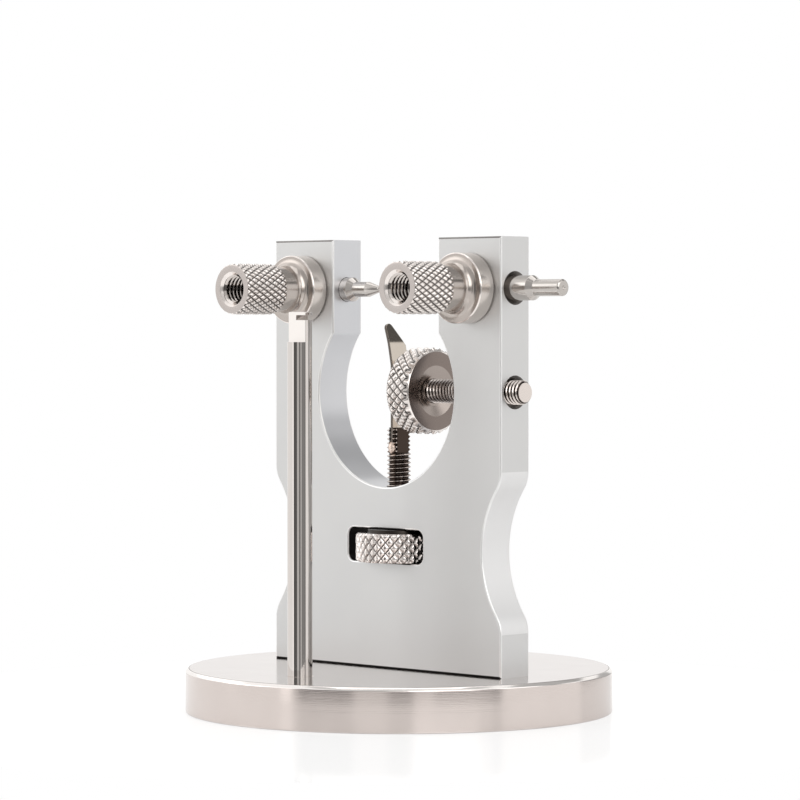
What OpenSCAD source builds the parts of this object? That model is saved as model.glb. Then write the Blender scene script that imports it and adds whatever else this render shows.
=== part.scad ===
// Balance truing caliper on a stand.
// A turned base carries an upright plate with a round throat. Two runners hold the
// balance staff between the arms, draw bolts with knurled nuts lock them, and an
// index blade on a threaded stem is raised by a captive wheel and moved sideways by a screw.
// X runs along the plate, +Y is the back, +Z is up. The origin is the middle of the underside.

/* [Base] */
// Diameter of the base disc
base_d = 70; // [60:1:90]
// Thickness of the base disc
base_h = 7.2; // [6.4:0.1:12]
// Chamfer round the base's top edge
base_chamfer = 0.5; // [0.2:0.1:1.5]
// Chamfer round the base's underside
base_foot_chamfer = 0.15; // [0.1:0.05:1]

/* [Frame plate] */
// Width of the plate
plate_w = 52; // [48:0.5:58]
// Thickness of the plate
plate_t = 6.6; // [5.8:0.1:9]
// Height of the plate above the base
plate_h = 70.2; // [66:0.1:80]
// Width of the gap between the arms
gap_w = 24.2; // [22:0.2:27]
// Radius of the round throat
throat_r = 15.5; // [14.5:0.1:17]
// Height of the throat's centre above the base
throat_up = 45.1; // [43:0.1:47]
// Depth of the waist in each side
waist_depth = 4.2; // [2:0.1:5]
// Radius of the hollow of the waist
waist_r = 17; // [12:0.5:20]
// Radius of the blend at each end of the waist
waist_blend_r = 5; // [2:0.5:6]
// Height of the waist's middle above the base
waist_up = 19.8; // [17:0.1:24]

/* [Height wheel] */
// Width of the window in the plate
window_w = 17.2; // [16:0.1:20]
// Height of the window
window_h = 5.5; // [5:0.1:6.5]
// Height of the window's lower edge above the base
window_up = 17.3; // [15:0.1:19]
// Radius of the window's corners
window_corner_r = 1.3; // [0.5:0.1:2]
// Diameter of the height wheel over its knurl
height_wheel_d = 14.2; // [12:0.1:15]
// Thickness of the height wheel
height_wheel_t = 4.75; // [4:0.05:4.9]
// Chamfer on the edges of both knurled wheels
wheel_chamfer = 0.35; // [0.2:0.05:0.6]

/* [Index stem] */
// Diameter of the stem's M4 thread, as a plain rod
stem_d = 3.94; // [3.5:0.02:4.4]
// Length of the stem
stem_len = 26.5; // [24:0.1:28]
// Height of the stem's top above the base
stem_top_up = 39.3; // [38:0.1:40]
// Length of the flat at the stem's head
stem_head_h = 4.1; // [3.6:0.1:5]
// Distance of the flat from the stem's axis
stem_flat_x = 1.0; // [0.9:0.05:1.4]
// Width of the slot for the blade
stem_slot_w = 0.8; // [0.75:0.05:1.2]
// Diameter of the relief hole at the root of the slot
relief_d = 1.7; // [1.4:0.1:1.7]
// Travel of the stem each way from rest
stem_travel = 2.9; // [1:0.1:3]
// Diameter of the pin that keeps the stem from turning
guide_pin_d = 1.0; // [0.8:0.1:1.4]
// Depth of the keyway in the stem
keyway_depth = 0.75; // [0.5:0.05:1]

/* [Index blade] */
// Width of the blade
blade_w = 3.75; // [3:0.05:5]
// How far the blade sits behind the stem's axis
blade_back = 0.15; // [0:0.05:0.3]
// Thickness of the blade
blade_t = 0.5; // [0.3:0.05:0.55]
// Length of the blade's straight part
blade_straight = 12.5; // [11:0.1:14]
// Length of the blade beyond its bend
blade_tip_len = 7; // [5:0.1:7.5]
// Lean of the blade's tip away from the side wheel, in degrees
blade_lean = 12.5; // [5:0.5:15]
// Distance from the bend to the start of the tapered edge
blade_taper_start = 3.3; // [1:0.1:4]
// Radius of the blade's point
blade_point_r = 0.8; // [0.4:0.1:1]

/* [Side screw] */
// Height of the side screw's axis above the base
side_screw_up = 45.4; // [45:0.1:47]
// Diameter of the side screw's M4 thread, as a plain rod
side_screw_d = 3.94; // [3.5:0.02:4.2]
// Diameter of the side screw's rounded nose
side_nose_d = 2.6; // [2:0.1:3]
// Length of the nose, with its rounded end
side_nose_len = 2.2; // [1.6:0.1:2.6]
// How far the side screw stands out of the plate's side
side_screw_out = 2.2; // [0.8:0.1:4]
// Diameter of the side wheel over its knurl
side_wheel_d = 14.1; // [10:0.1:15]
// Thickness of the side wheel
side_wheel_t = 4.7; // [3:0.05:5.5]
// Distance from the plate's middle to the side wheel's inner face
side_wheel_x = 3.8; // [3.4:0.05:4.5]
// Diameter of the shallow cone turned in the side wheel's outer face
side_wheel_cone_d = 8.3; // [5:0.1:9]
// Depth of that cone
side_wheel_cone_h = 0.5; // [0.2:0.1:1]

/* [Runners] */
// Diameter of the runners
runner_d = 4; // [3.5:0.1:4.2]
// Depth of the runners' axis below the top of the plate
runner_drop = 8.2; // [7.5:0.1:9]
// Diameter of a runner's inner nose
runner_nose_d = 2.5; // [2:0.1:3]
// Diameter of a runner's outer nose
runner_outer_d = 2.7; // [2:0.1:3.2]
// Distance between the two runners' tips at rest
tip_gap = 9; // [7:0.1:10]
// Diameter of the inner tip
runner_tip_d = 1.1; // [0.9:0.1:1.6]
// Length of the inner tip's taper
runner_taper = 2.4; // [1.5:0.1:2.6]
// Length of the cone at each end of a runner's body
runner_cone = 0.9; // [0.5:0.1:1.7]
// How far a runner's body stands out of the arm's inner face
runner_in = 1.45; // [0.5:0.05:1.8]
// How far a runner's body stands out of the arm's outer face
runner_out = 3.9; // [1:0.05:5]
// Length of the outer nose, with its cone
runner_outer_nose = 6.5; // [4:0.1:9]
// Diameter of the pivot cups in a runner's ends
cup_d = 0.6; // [0.4:0.05:0.8]
// Diameter of the countersinks where rods leave the arms' outer faces
rod_sink_d = 5.4; // [4.9:0.1:6]

/* [Clamps] */
// Diameter of the draw bolt's body
bolt_d = 7; // [6.6:0.1:7.4]
// Diameter of the bolt's M5 stud, as a plain rod
stud_d = 4.1; // [3.6:0.05:4.6]
// Length of the stud beyond the front of the plate
stud_len = 9; // [6:0.5:12]
// Distance that the nut draws the bolt
draw = 0.3; // [0.1:0.05:0.4]
// Diameter of the knob's flange
flange_d = 11.3; // [10:0.1:12]
// Thickness of the knob's flange
flange_t = 3.2; // [2:0.05:4]
// Diameter of the knob's neck
neck_d = 7.45; // [6.6:0.05:8]
// Radius of the cove between neck and flange
cove_r = 1.4; // [0.5:0.1:1.6]
// Length of the knob from the plate to the head's end
knob_len = 16.35; // [14:0.05:20]
// Diameter of the knob's knurled head
head_d = 8.4; // [8.2:0.1:9.6]
// Length of the knob's knurled head
head_len = 8.8; // [6:0.1:9.5]
// Diameter of the chamfered mouth of the knob's thread
mouth_d = 5.7; // [5:0.1:6.4]

/* [Truing key] */
// Diameter of the truing key
key_d = 4; // [3.5:0.1:5]
// Height of the key's top above the base
key_up = 58.2; // [50:0.1:62]
// Depth of the key's socket in the base
key_socket = 5; // [3:0.1:5.4]
// Distance of the socket in front of the plate's middle
key_y = 22.5; // [20:0.1:26]
// Length of the flat at the key's head
key_flat_h = 4.8; // [3:0.1:8]
// Distance of the flat from the key's axis
key_flat_y = 0.6; // [0.3:0.05:1.2]
// Width of the slot across the key's head
key_slot_w = 0.8; // [0.5:0.05:1.2]
// Thickness of the bar left above the slot
key_bar = 0.5; // [0.4:0.05:1]
// Distance of the slot's closed end from the key's axis
key_slot_x = 0.2; // [0:0.05:0.8]

/* [Frame screws] */
// Distance of each frame screw from the plate's side
screw_inset = 11; // [10:0.5:14]
// Diameter of the screws' M4 shank, as a plain rod
screw_d = 3.9; // [3:0.1:4.2]
// Diameter of the screws' heads
screw_head_d = 7; // [6.4:0.1:8]
// Height of the screws' heads
screw_head_h = 3.9; // [3:0.1:4]
// Length of the shank below the head
screw_len = 12; // [8:0.5:14]
// Hexagon socket across flats
screw_hex = 3; // [2:0.5:3.5]

/* [Fits] */
// Radial clearance of rods that slide or turn in their holes
fit = 0.05; // [0.02:0.01:0.1]
// Play between the height wheel and the window's lower edge
wheel_play = 0.05; // [0.02:0.01:0.1]
// Gap between the side screw's nose and the blade at rest
nose_gap = 0.3; // [0.25:0.05:0.5]
// Radial clearance of the holes that screws pass through freely
screw_clear = 0.25; // [0.1:0.05:0.4]

/* [Hidden] */
$fn = 96;

// Overrun of a cutter past the face that it cuts
over = 1;
// Small breaks on rods and edges
edge = 0.25;

// Main heights and stations
axis_z = base_h + plate_h - runner_drop;
side_z = base_h + side_screw_up;
stem_top = base_h + stem_top_up;
stem_foot = stem_top - stem_len;
flat_z = stem_top - stem_head_h;
arm_x = (plate_w + gap_w) / 4;
window_z = base_h + window_up;
front_y = -plate_t / 2;

// Waist: the hollow's centre, and where its arc meets the blend
waist_span = waist_r + waist_blend_r;
waist_half = sqrt(pow(waist_span, 2) - pow(waist_span - waist_depth, 2));
waist_cx = plate_w / 2 - waist_depth + waist_r;
blend_x = plate_w / 2 - waist_blend_r;
meet_x = waist_cx + (blend_x - waist_cx) * waist_r / waist_span;
meet_z = waist_half * waist_r / waist_span;

// Stem head: the relief hole clears the flat by a thin wall
relief_z = flat_z + 0.6;
blade_foot = relief_z + relief_d / 2 + 0.35;
keyway_top = stem_foot + stem_len - stem_head_h - 2.3;
guide_pin_z = window_z + window_h + 3.2;
throat_floor = base_h + throat_up - throat_r;

// Bolt: its shoulder and its back end lie inside the plate
bolt_back = plate_t / 2 - draw;
bolt_shoulder = plate_t / 2 - 0.2;
eye_r = runner_d / 2 + fit + draw / 2;

// Frame screws keep their distance from the plate's sides, and are seated in
// counterbores under the base
screw_x = plate_w / 2 - screw_inset;
seat_z = screw_head_h + 0.4;

steel = [0.70, 0.68, 0.66];
bright_steel = [0.78, 0.76, 0.75];
dark_steel = [0.42, 0.40, 0.39];
plate_grey = [0.80, 0.80, 0.80];

// A rod along Z with a small chamfer at each end
module rod(d, length, break_low, break_high) {
    rotate_extrude()
        polygon([
            [0, 0], [d / 2 - break_low, 0], [d / 2, break_low],
            [d / 2, length - break_high], [d / 2 - break_high, length], [0, length]
        ]);
}

// Turns a shape made along Z to lie along X, pointing away from the plate's middle
module along_x(side, x, z) {
    translate([side * x, 0, z])
        rotate([0, side * 90, 0])
            children();
}

// Turns a shape made along Z to point out of the plate's front
module along_front(x, y, z) {
    translate([x, y, z])
        rotate([90, 0, 0])
            children();
}

// The disc, with a broad chamfer above and a fine one below
module base_disc() {
    color(steel)
        difference() {
            rod(base_d, base_h, base_foot_chamfer, base_chamfer);
            for (side = [-1, 1])
                translate([side * screw_x, 0, 0])
                    screw_hole();
            translate([0, -key_y, base_h - key_socket])
                cylinder(d = key_d + 2 * fit, h = key_socket + over);
        }
}

// Counterbore and clearance hole of one frame screw
module screw_hole() {
    translate([0, 0, -over])
        cylinder(d = screw_head_d + 2 * screw_clear, h = seat_z + over);
    cylinder(d = screw_d + 2 * screw_clear, h = base_h + over);
}

// Upper half of the waist's blend, drawn about the waist's middle
module waist_blend() {
    difference() {
        polygon([
            [blend_x, waist_half], [plate_w / 2 + over, waist_half],
            [plate_w / 2 + over, meet_z], [meet_x, meet_z]
        ]);
        translate([blend_x, waist_half])
            circle(r = waist_blend_r);
    }
}

// The hollow cut into the right side, with a tangent blend at each end
module waist() {
    translate([0, waist_up]) {
        intersection() {
            translate([waist_cx, 0])
                circle(r = waist_r);
            translate([0, -meet_z])
                square([plate_w / 2 + over, 2 * meet_z]);
        }
        waist_blend();
        mirror([0, 1])
            waist_blend();
    }
}

// The plate's outline, drawn upwards from the base
module plate_outline() {
    difference() {
        translate([-plate_w / 2, 0])
            square([plate_w, plate_h]);
        translate([-gap_w / 2, throat_up])
            square([gap_w, plate_h]);
        translate([0, throat_up])
            circle(r = throat_r);
        waist();
        mirror([1, 0])
            waist();
    }
}

// A rectangle with round corners, centred on X and standing on its lower edge
module window_outline() {
    inset = window_w / 2 - window_corner_r;
    translate([-inset, 0])
        square([2 * inset, window_h]);
    translate([-window_w / 2, window_corner_r])
        square([window_w, window_h - 2 * window_corner_r]);
    for (x = [-inset, inset], z = [window_corner_r, window_h - window_corner_r])
        translate([x, z])
            circle(r = window_corner_r);
}

// A hole along X through one arm, countersunk in the arm's outer face
module arm_hole(side, d, z) {
    along_x(side, gap_w / 2 - over, z)
        cylinder(d = d, h = plate_w / 2 - gap_w / 2 + 2 * over);
    along_x(side, plate_w / 2 - rod_sink(d), z)
        cylinder(d1 = d, d2 = rod_sink_d, h = rod_sink(d));
}

function rod_sink(d) = (rod_sink_d - d) / 2;

module frame_plate() {
    color(plate_grey)
        difference() {
            translate([0, plate_t / 2, base_h])
                rotate([90, 0, 0])
                    linear_extrude(plate_t)
                        plate_outline();
            translate([0, plate_t / 2 + over, window_z])
                rotate([90, 0, 0])
                    linear_extrude(plate_t + 2 * over)
                        window_outline();
            // Bore of the stem, blind below its lowest point
            translate([0, 0, stem_foot - stem_travel - 1])
                cylinder(d = stem_d + 2 * fit, h = stem_len);
            // Cross hole of the guide pin, from the back
            along_front(0, plate_t / 2 + over, guide_pin_z)
                cylinder(d = guide_pin_d + 0.02, h = plate_t / 2 + over);
            for (side = [-1, 1]) {
                arm_hole(side, runner_d + 2 * fit, axis_z);
                along_front(side * arm_x, plate_t / 2 + over, axis_z)
                    cylinder(d = bolt_d + 2 * fit, h = plate_t + 2 * over);
                translate([side * screw_x, 0, base_h - over])
                    cylinder(d = screw_d + 2 * fit, h = seat_z + screw_len - base_h + 1.5 * over);
            }
            arm_hole(1, side_screw_d + 2 * fit, side_z);
        }
}

// M4 cap screw, head down in the base's counterbore
module frame_screw(side) {
    color(dark_steel)
        translate([side * screw_x, 0, seat_z - screw_head_h])
            difference() {
                union() {
                    rod(screw_head_d, screw_head_h, edge, 0);
                    rod(screw_d, screw_head_h + screw_len, edge, edge);
                }
                translate([0, 0, -over])
                    cylinder(d = screw_hex / cos(30), h = screw_head_h / 2 + over, $fn = 6);
            }
}

module left_frame_screw() {
    frame_screw(-1);
}

module right_frame_screw() {
    frame_screw(1);
}

// A reversible runner: tapered cupped tip inside, plain cupped nose outside.
// Its section is drawn from the tip outwards.
module runner(side) {
    inner_end = tip_gap / 2;
    body_start = gap_w / 2 - runner_in;
    body_end = plate_w / 2 + runner_out;
    outer_end = body_end + runner_outer_nose;
    nose_r = runner_nose_d / 2;
    outer_r = runner_outer_d / 2;
    color(bright_steel)
        along_x(side, 0, axis_z)
            rotate_extrude()
                difference() {
                    polygon([
                        [0, inner_end],
                        [runner_tip_d / 2 - 0.15, inner_end],
                        [runner_tip_d / 2, inner_end + 0.15],
                        [nose_r, inner_end + runner_taper],
                        [nose_r, body_start - runner_cone],
                        [runner_d / 2, body_start],
                        [runner_d / 2, body_end],
                        [outer_r, body_end + runner_cone],
                        [outer_r, outer_end - edge],
                        [outer_r - edge, outer_end],
                        [0, outer_end]
                    ]);
                    polygon([
                        [0, inner_end - over], [cup_d / 2, inner_end - over],
                        [cup_d / 2, inner_end], [0, inner_end + cup_d]
                    ]);
                    polygon([
                        [0, outer_end + over], [cup_d / 2, outer_end + over],
                        [cup_d / 2, outer_end], [0, outer_end - cup_d]
                    ]);
                }
}

module left_runner() {
    runner(-1);
}

module right_runner() {
    runner(1);
}

// Draw bolt: its eye goes round the runner and its stud takes the knob
module clamp_bolt(side) {
    color(dark_steel)
        difference() {
            union() {
                along_front(side * arm_x, bolt_back, axis_z)
                    rod(bolt_d, bolt_back + bolt_shoulder, edge, edge);
                along_front(side * arm_x, -bolt_shoulder + edge, axis_z)
                    rod(stud_d, stud_len + edge, 0, 2 * edge);
            }
            translate([side * arm_x - bolt_d, -draw / 2, axis_z])
                rotate([0, 90, 0])
                    cylinder(r = eye_r, h = 2 * bolt_d);
        }
}

module left_clamp_bolt() {
    clamp_bolt(-1);
}

module right_clamp_bolt() {
    clamp_bolt(1);
}

// Half section of the knob: radius along X, distance from the plate along Y
module knob_section() {
    flange_r = flange_d / 2;
    neck_r = neck_d / 2;
    head_r = head_d / 2;
    head_break = 0.25;
    bore_r = stud_d / 2 + fit;
    mouth = mouth_d / 2 - bore_r;
    head_start = knob_len - head_len;
    polygon([
        [bore_r, 0],
        [flange_r - edge, 0],
        [flange_r, edge],
        [flange_r, flange_t - 0.35],
        [flange_r - 0.35, flange_t],
        [neck_r, flange_t],
        [neck_r, head_start],
        [head_r - edge, head_start],
        [head_r, head_start + edge],
        [head_r, knob_len - head_break],
        [head_r - head_break, knob_len],
        [mouth_d / 2, knob_len],
        [bore_r, knob_len - mouth]
    ]);
    difference() {
        translate([neck_r - edge, flange_t - edge])
            square(cove_r + edge);
        translate([neck_r + cove_r, flange_t + cove_r])
            circle(r = cove_r);
    }
}

module clamp_knob(side) {
    color(steel)
        along_front(side * arm_x, front_y - fit, axis_z)
            rotate_extrude()
                knob_section();
}

module left_clamp_knob() {
    clamp_knob(-1);
}

module right_clamp_knob() {
    clamp_knob(1);
}

module height_wheel() {
    color(bright_steel)
        translate([0, 0, window_z + wheel_play])
            difference() {
                rod(height_wheel_d, height_wheel_t, wheel_chamfer, wheel_chamfer);
                translate([0, 0, -over])
                    cylinder(d = stem_d + 2 * fit, h = height_wheel_t + 2 * over);
            }
}

// Threaded stem: flat and slot at its head, keyway down its back
module index_stem() {
    color(dark_steel)
        difference() {
            translate([0, 0, stem_foot])
                rod(stem_d, stem_len, edge, edge);
            translate([stem_flat_x, -stem_d, flat_z])
                cube([stem_d, 2 * stem_d, stem_head_h + over]);
            translate([-stem_slot_w / 2, -stem_d, relief_z])
                cube([stem_slot_w, 2 * stem_d, stem_head_h + over]);
            translate([0, stem_d, relief_z])
                rotate([90, 0, 0])
                    cylinder(d = relief_d, h = 2 * stem_d);
            translate([-guide_pin_d / 2 - fit, stem_d / 2 - keyway_depth, stem_foot - over])
                cube([guide_pin_d + 2 * fit, stem_d, keyway_top - stem_foot + over]);
        }
}

module stem_guide_pin() {
    color(steel)
        along_front(0, plate_t / 2, guide_pin_z)
            rod(guide_pin_d, (plate_t - stem_d) / 2 + keyway_depth - 2 * fit, 0.05, 0.1);
}

// Solder that fills the relief hole and stands just proud of the stem
module blade_solder() {
    color([0.82, 0.74, 0.66])
        intersection() {
            translate([0, stem_d, relief_z])
                rotate([90, 0, 0])
                    cylinder(d = relief_d - 0.04, h = 2 * stem_d);
            translate([0, 0, relief_z - stem_d])
                cylinder(d = stem_d + 0.2, h = 2 * stem_d);
        }
}

// Outline of the blade beyond its bend: Y across, the other axis along the blade
module blade_tip_outline() {
    half = blade_w / 2;
    point = [-half + blade_point_r, blade_tip_len - blade_point_r];
    shoulder = [half, blade_taper_start];
    reach = point - shoulder;
    // Direction from the point's centre to where the tapered edge touches its round
    turn = atan2(reach[1], reach[0]) - asin(blade_point_r / norm(reach));
    touch = point + blade_point_r * [sin(turn), -cos(turn)];
    polygon([
        [-half, 0], [half, 0], shoulder, touch, point, [-half, blade_tip_len - blade_point_r]
    ]);
    translate(point)
        circle(r = blade_point_r);
}

module index_blade() {
    color(bright_steel)
        translate([0, blade_back, blade_foot]) {
            translate([-blade_t / 2, -blade_w / 2, 0])
                cube([blade_t, blade_w, blade_straight]);
            translate([0, 0, blade_straight]) {
                rotate([90, 0, 0])
                    translate([0, 0, -blade_w / 2])
                        cylinder(d = blade_t, h = blade_w);
                rotate([0, -blade_lean, 0])
                    translate([-blade_t / 2, 0, 0])
                        rotate([90, 0, 90])
                            linear_extrude(blade_t)
                                blade_tip_outline();
            }
        }
}

// M4 screw through the right arm, with a rounded nose towards the blade
module side_screw() {
    nose_x = blade_t / 2 + nose_gap;
    nose_r = side_nose_d / 2;
    body_x = nose_x + side_nose_len;
    color(dark_steel) {
        along_x(1, body_x, side_z)
            rod(side_screw_d, plate_w / 2 + side_screw_out - body_x, 0.4, 0.4);
        along_x(1, nose_x + nose_r, side_z)
            cylinder(r = nose_r, h = side_nose_len);
        translate([nose_x + nose_r, 0, side_z])
            sphere(r = nose_r);
    }
}

// Knurled wheel on the side screw, with a shallow cone in its outer face
module side_wheel() {
    color(steel)
        along_x(1, side_wheel_x, side_z)
            difference() {
                rod(side_wheel_d, side_wheel_t, wheel_chamfer, wheel_chamfer);
                translate([0, 0, -over])
                    cylinder(d = side_screw_d + 2 * fit, h = side_wheel_t + 2 * over);
                translate([0, 0, side_wheel_t - side_wheel_cone_h])
                    cylinder(d1 = side_screw_d + 0.8, d2 = side_wheel_cone_d, h = side_wheel_cone_h);
            }
}

// Loose rod in the base, with a flat and a cross slot open to one side
module truing_key() {
    key_foot = base_h - key_socket + fit;
    key_top = base_h + key_up;
    color(steel)
        translate([0, -key_y, 0])
            difference() {
                translate([0, 0, key_foot])
                    rod(key_d, key_top - key_foot, 2 * edge, 0.1);
                translate([-key_d, -key_d - key_flat_y, key_top - key_flat_h])
                    cube([2 * key_d, key_d, key_flat_h + over]);
                translate([-key_slot_x, -key_d, key_top - key_bar - key_slot_w])
                    cube([key_d, 2 * key_d, key_slot_w]);
            }
}

base_disc();
frame_plate();
left_frame_screw();
right_frame_screw();
left_runner();
right_runner();
left_clamp_bolt();
right_clamp_bolt();
left_clamp_knob();
right_clamp_knob();
height_wheel();
index_stem();
stem_guide_pin();
blade_solder();
index_blade();
side_screw();
side_wheel();
truing_key();
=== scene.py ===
# %% [markdown]
# # A balance truing caliper, dressed in Blender
#
# A watchmaker holds a balance wheel between the two runners of this caliper and
# watches its rim against the index blade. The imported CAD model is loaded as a
# fixed frame. Every piece made here takes the place of one CAD node, rides on the
# same body, and adds what the CAD leaves out: knurls, cut threads, softened edges
# and the finish of each metal.

# %% Load the frame
import math

import bmesh
import bpy
from mathutils import Matrix, Vector


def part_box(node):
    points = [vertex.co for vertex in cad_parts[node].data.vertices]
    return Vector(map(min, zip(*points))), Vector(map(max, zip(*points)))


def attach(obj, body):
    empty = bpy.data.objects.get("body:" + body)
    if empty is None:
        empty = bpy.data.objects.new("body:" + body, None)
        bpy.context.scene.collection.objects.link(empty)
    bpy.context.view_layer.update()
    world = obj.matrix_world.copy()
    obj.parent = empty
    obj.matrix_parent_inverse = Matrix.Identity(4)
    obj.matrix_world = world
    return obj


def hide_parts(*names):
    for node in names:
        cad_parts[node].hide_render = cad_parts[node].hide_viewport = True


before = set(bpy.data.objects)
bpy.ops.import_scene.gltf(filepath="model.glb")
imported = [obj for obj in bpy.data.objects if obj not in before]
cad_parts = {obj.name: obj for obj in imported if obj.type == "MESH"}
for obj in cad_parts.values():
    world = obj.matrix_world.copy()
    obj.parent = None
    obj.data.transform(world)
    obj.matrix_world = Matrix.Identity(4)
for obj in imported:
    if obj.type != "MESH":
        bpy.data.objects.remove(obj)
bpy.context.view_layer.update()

# %% [markdown]
# ## Camera first
#
# The photograph looks at the plate's front from the right, almost level with the
# bench. The lens is long, as for a small product. Azimuth is counted from the
# front of the plate, and the distance, height and lens are those that put the
# round base, the plate's corners and the throat where the photograph shows them.

# %% Camera
MM = 0.001
CAMERA_AZIMUTH = math.radians(44.72)
CAMERA_ELEVATION = math.radians(1.21)
CAMERA_DISTANCE = 597.13
AIM_HEIGHT = 51.01
AIM_RIGHT = 0.17
LENS = 163.8


def add_camera():
    """Puts the camera on its line of sight and turns it to the aim point."""
    across = Vector((math.cos(CAMERA_AZIMUTH), math.sin(CAMERA_AZIMUTH), 0))
    level = math.cos(CAMERA_ELEVATION)
    back = Vector((
        math.sin(CAMERA_AZIMUTH) * level,
        -math.cos(CAMERA_AZIMUTH) * level,
        math.sin(CAMERA_ELEVATION),
    ))
    aim = across * AIM_RIGHT + Vector((0, 0, AIM_HEIGHT))
    lens = bpy.data.cameras.new("camera")
    lens.lens = LENS
    lens.sensor_width = 36
    lens.clip_start = 0.01
    lens.clip_end = 20
    camera = bpy.data.objects.new("camera", lens)
    camera.location = (aim + back * CAMERA_DISTANCE) * MM
    camera.rotation_euler = back.to_track_quat("Z", "Y").to_euler()
    bpy.context.collection.objects.link(camera)
    bpy.context.scene.camera = camera
    return camera


camera = add_camera()
print("camera at", [round(c, 3) for c in camera.location])

# %% [markdown]
# ## A few tools for turned parts
#
# Nearly every piece of this caliper comes off a lathe, so the main tool here is a
# lathe too: an outline of radius and height is spun about Z in millimetres, its
# doubles are merged, and its normals are recalculated. An outline's corners are
# softened first, because a real turned edge is broken a little with a file, and
# that small round is what catches the light.

# %% Lathe
MERGE = 0.0005
# A corner flatter than this stays, and a round takes at most this share of a side
STRAIGHT = math.radians(165)
ROUND_SHARE = 0.4


def arc(centre, radius, start, end, count):
    """Points along an arc, both ends included, with its angles in degrees."""
    points = []
    for i in range(count + 1):
        angle = math.radians(start + (end - start) * i / count)
        points.append((
            centre[0] + radius * math.cos(angle),
            centre[1] + radius * math.sin(angle),
        ))
    return points


def soften(outline, size):
    """Gives each real corner of an open outline a small round of about this size."""
    corners = [Vector(point) for point in outline]
    soft = [tuple(corners[0])]
    for last_one, corner, next_one in zip(corners, corners[1:], corners[2:]):
        before = last_one - corner
        after = next_one - corner
        if before.angle(after, math.pi) > STRAIGHT:
            soft.append(tuple(corner))
            continue
        first = corner + before.normalized() * min(size, before.length * ROUND_SHARE)
        last = corner + after.normalized() * min(size, after.length * ROUND_SHARE)
        for t in (0, 1 / 3, 2 / 3, 1):
            bend = first * (1 - t) ** 2 + corner * 2 * t * (1 - t) + last * t ** 2
            soft.append(tuple(bend))
    return [*soft, tuple(corners[-1])]


def lathe(outline, steps, closed=False):
    """Spins an outline of (radius, height) about Z into a closed skin."""
    bm = bmesh.new()
    points = [bm.verts.new((radius, 0, height)) for radius, height in outline]
    pairs = list(zip(points, points[1:]))
    if closed:
        pairs.append((points[-1], points[0]))
    edges = [bm.edges.new(pair) for pair in pairs]
    bmesh.ops.spin(
        bm, geom=points + edges, cent=(0, 0, 0), axis=(0, 0, 1),
        angle=math.tau, steps=steps, use_merge=True,
    )
    tidy(bm)
    return bm


def tidy(bm):
    """Merges doubles, and turns every face outwards."""
    bmesh.ops.remove_doubles(bm, verts=bm.verts, dist=MERGE)
    bmesh.ops.recalc_face_normals(bm, faces=bm.faces)


# Turns that take a piece made along Z to where it lies on the caliper
TO_RIGHT = Matrix.Rotation(math.radians(90), 4, "Y")
TO_LEFT = Matrix.Rotation(math.radians(-90), 4, "Y")
TO_FRONT = Matrix.Rotation(math.radians(90), 4, "X")
UPRIGHT = Matrix.Identity(4)


def place(bm, x, y, z, turn):
    """Turns a mesh made along Z and sets its origin down at x, y, z."""
    bmesh.ops.transform(bm, matrix=Matrix.Translation((x, y, z)) @ turn, verts=bm.verts)
    return bm


# %% [markdown]
# Holes that cross a turned skin are cut with Blender's exact Boolean. The cutters
# are solids made by the same tools. The cut is applied at once, so that no
# modifier and no cutter is left in the scene.

# %% Cutting
# The sides of a round cutter, and how far a cutter reaches past the axis of a rod
DRILL_STEPS = 64
PAST = 4


def mesh_object(name, bm):
    """Puts a bmesh in the scene as an object, and frees it."""
    mesh = bpy.data.meshes.new(name)
    bm.to_mesh(mesh)
    bm.free()
    made = bpy.data.objects.new(name, mesh)
    bpy.context.collection.objects.link(made)
    return made


def cut(bm, cutters):
    """Cuts solids out of a mesh, and returns what is left as a new bmesh."""
    block = mesh_object("block", bm)
    tools = [mesh_object("tool", cutter) for cutter in cutters]
    for tool in tools:
        knife = block.modifiers.new("cut", "BOOLEAN")
        knife.operation = "DIFFERENCE"
        knife.solver = "EXACT"
        knife.object = tool
    seen = block.evaluated_get(bpy.context.evaluated_depsgraph_get())
    left = bmesh.new()
    left.from_mesh(seen.data)
    for used in [block, *tools]:
        mesh = used.data
        bpy.data.objects.remove(used)
        bpy.data.meshes.remove(mesh)
    bmesh.ops.remove_doubles(left, verts=left.verts, dist=MERGE)
    return left


def box(low, high):
    """A block between two corners, as a cutter."""
    bm = bmesh.new()
    bmesh.ops.create_cube(bm, size=1)
    size = Vector(high) - Vector(low)
    middle = (Vector(high) + Vector(low)) / 2
    bmesh.ops.scale(bm, vec=size, verts=bm.verts)
    bmesh.ops.translate(bm, vec=middle, verts=bm.verts)
    return bm


def drill(radius, low, high):
    """A plain round cutter along Z."""
    return lathe([(0, low), (radius, low), (radius, high), (0, high)], DRILL_STEPS)


def sink(radius, wide, low, high):
    """A round cutter along Z whose upper end opens out at 45 degrees, as a countersink."""
    flare = wide - radius
    return lathe([
        (0, low), (radius, low), (radius, high - flare),
        (wide, high), (wide, high + flare), (0, high + flare),
    ], DRILL_STEPS)


# %% [markdown]
# ## Knurls and threads
#
# A knurl is pressed by two wheels with slanting teeth, which leaves rows of small
# diamonds. Here a finely divided skin is pushed inwards along two sets of crossing
# helical lines. Only the skin and its chamfers are pressed, and the grooves are no
# deeper than the chamfers, so they run out before the flat faces, as on the real
# part. How deep each point went is kept as an attribute, so that the finish can
# paint the grooves darker: a painted shade.

# %% Knurl
GROOVE = "groove"
# Points to a diamond each way, and how far inside the grooves the skin still counts
KNURL_POINTS = 10
SKIN_SLACK = 0.03


def from_line(turns):
    """Distance from the nearest groove, from 0 on it to 1 half way to the next."""
    return 1 - abs(2 * (turns % 1) - 1)


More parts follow.
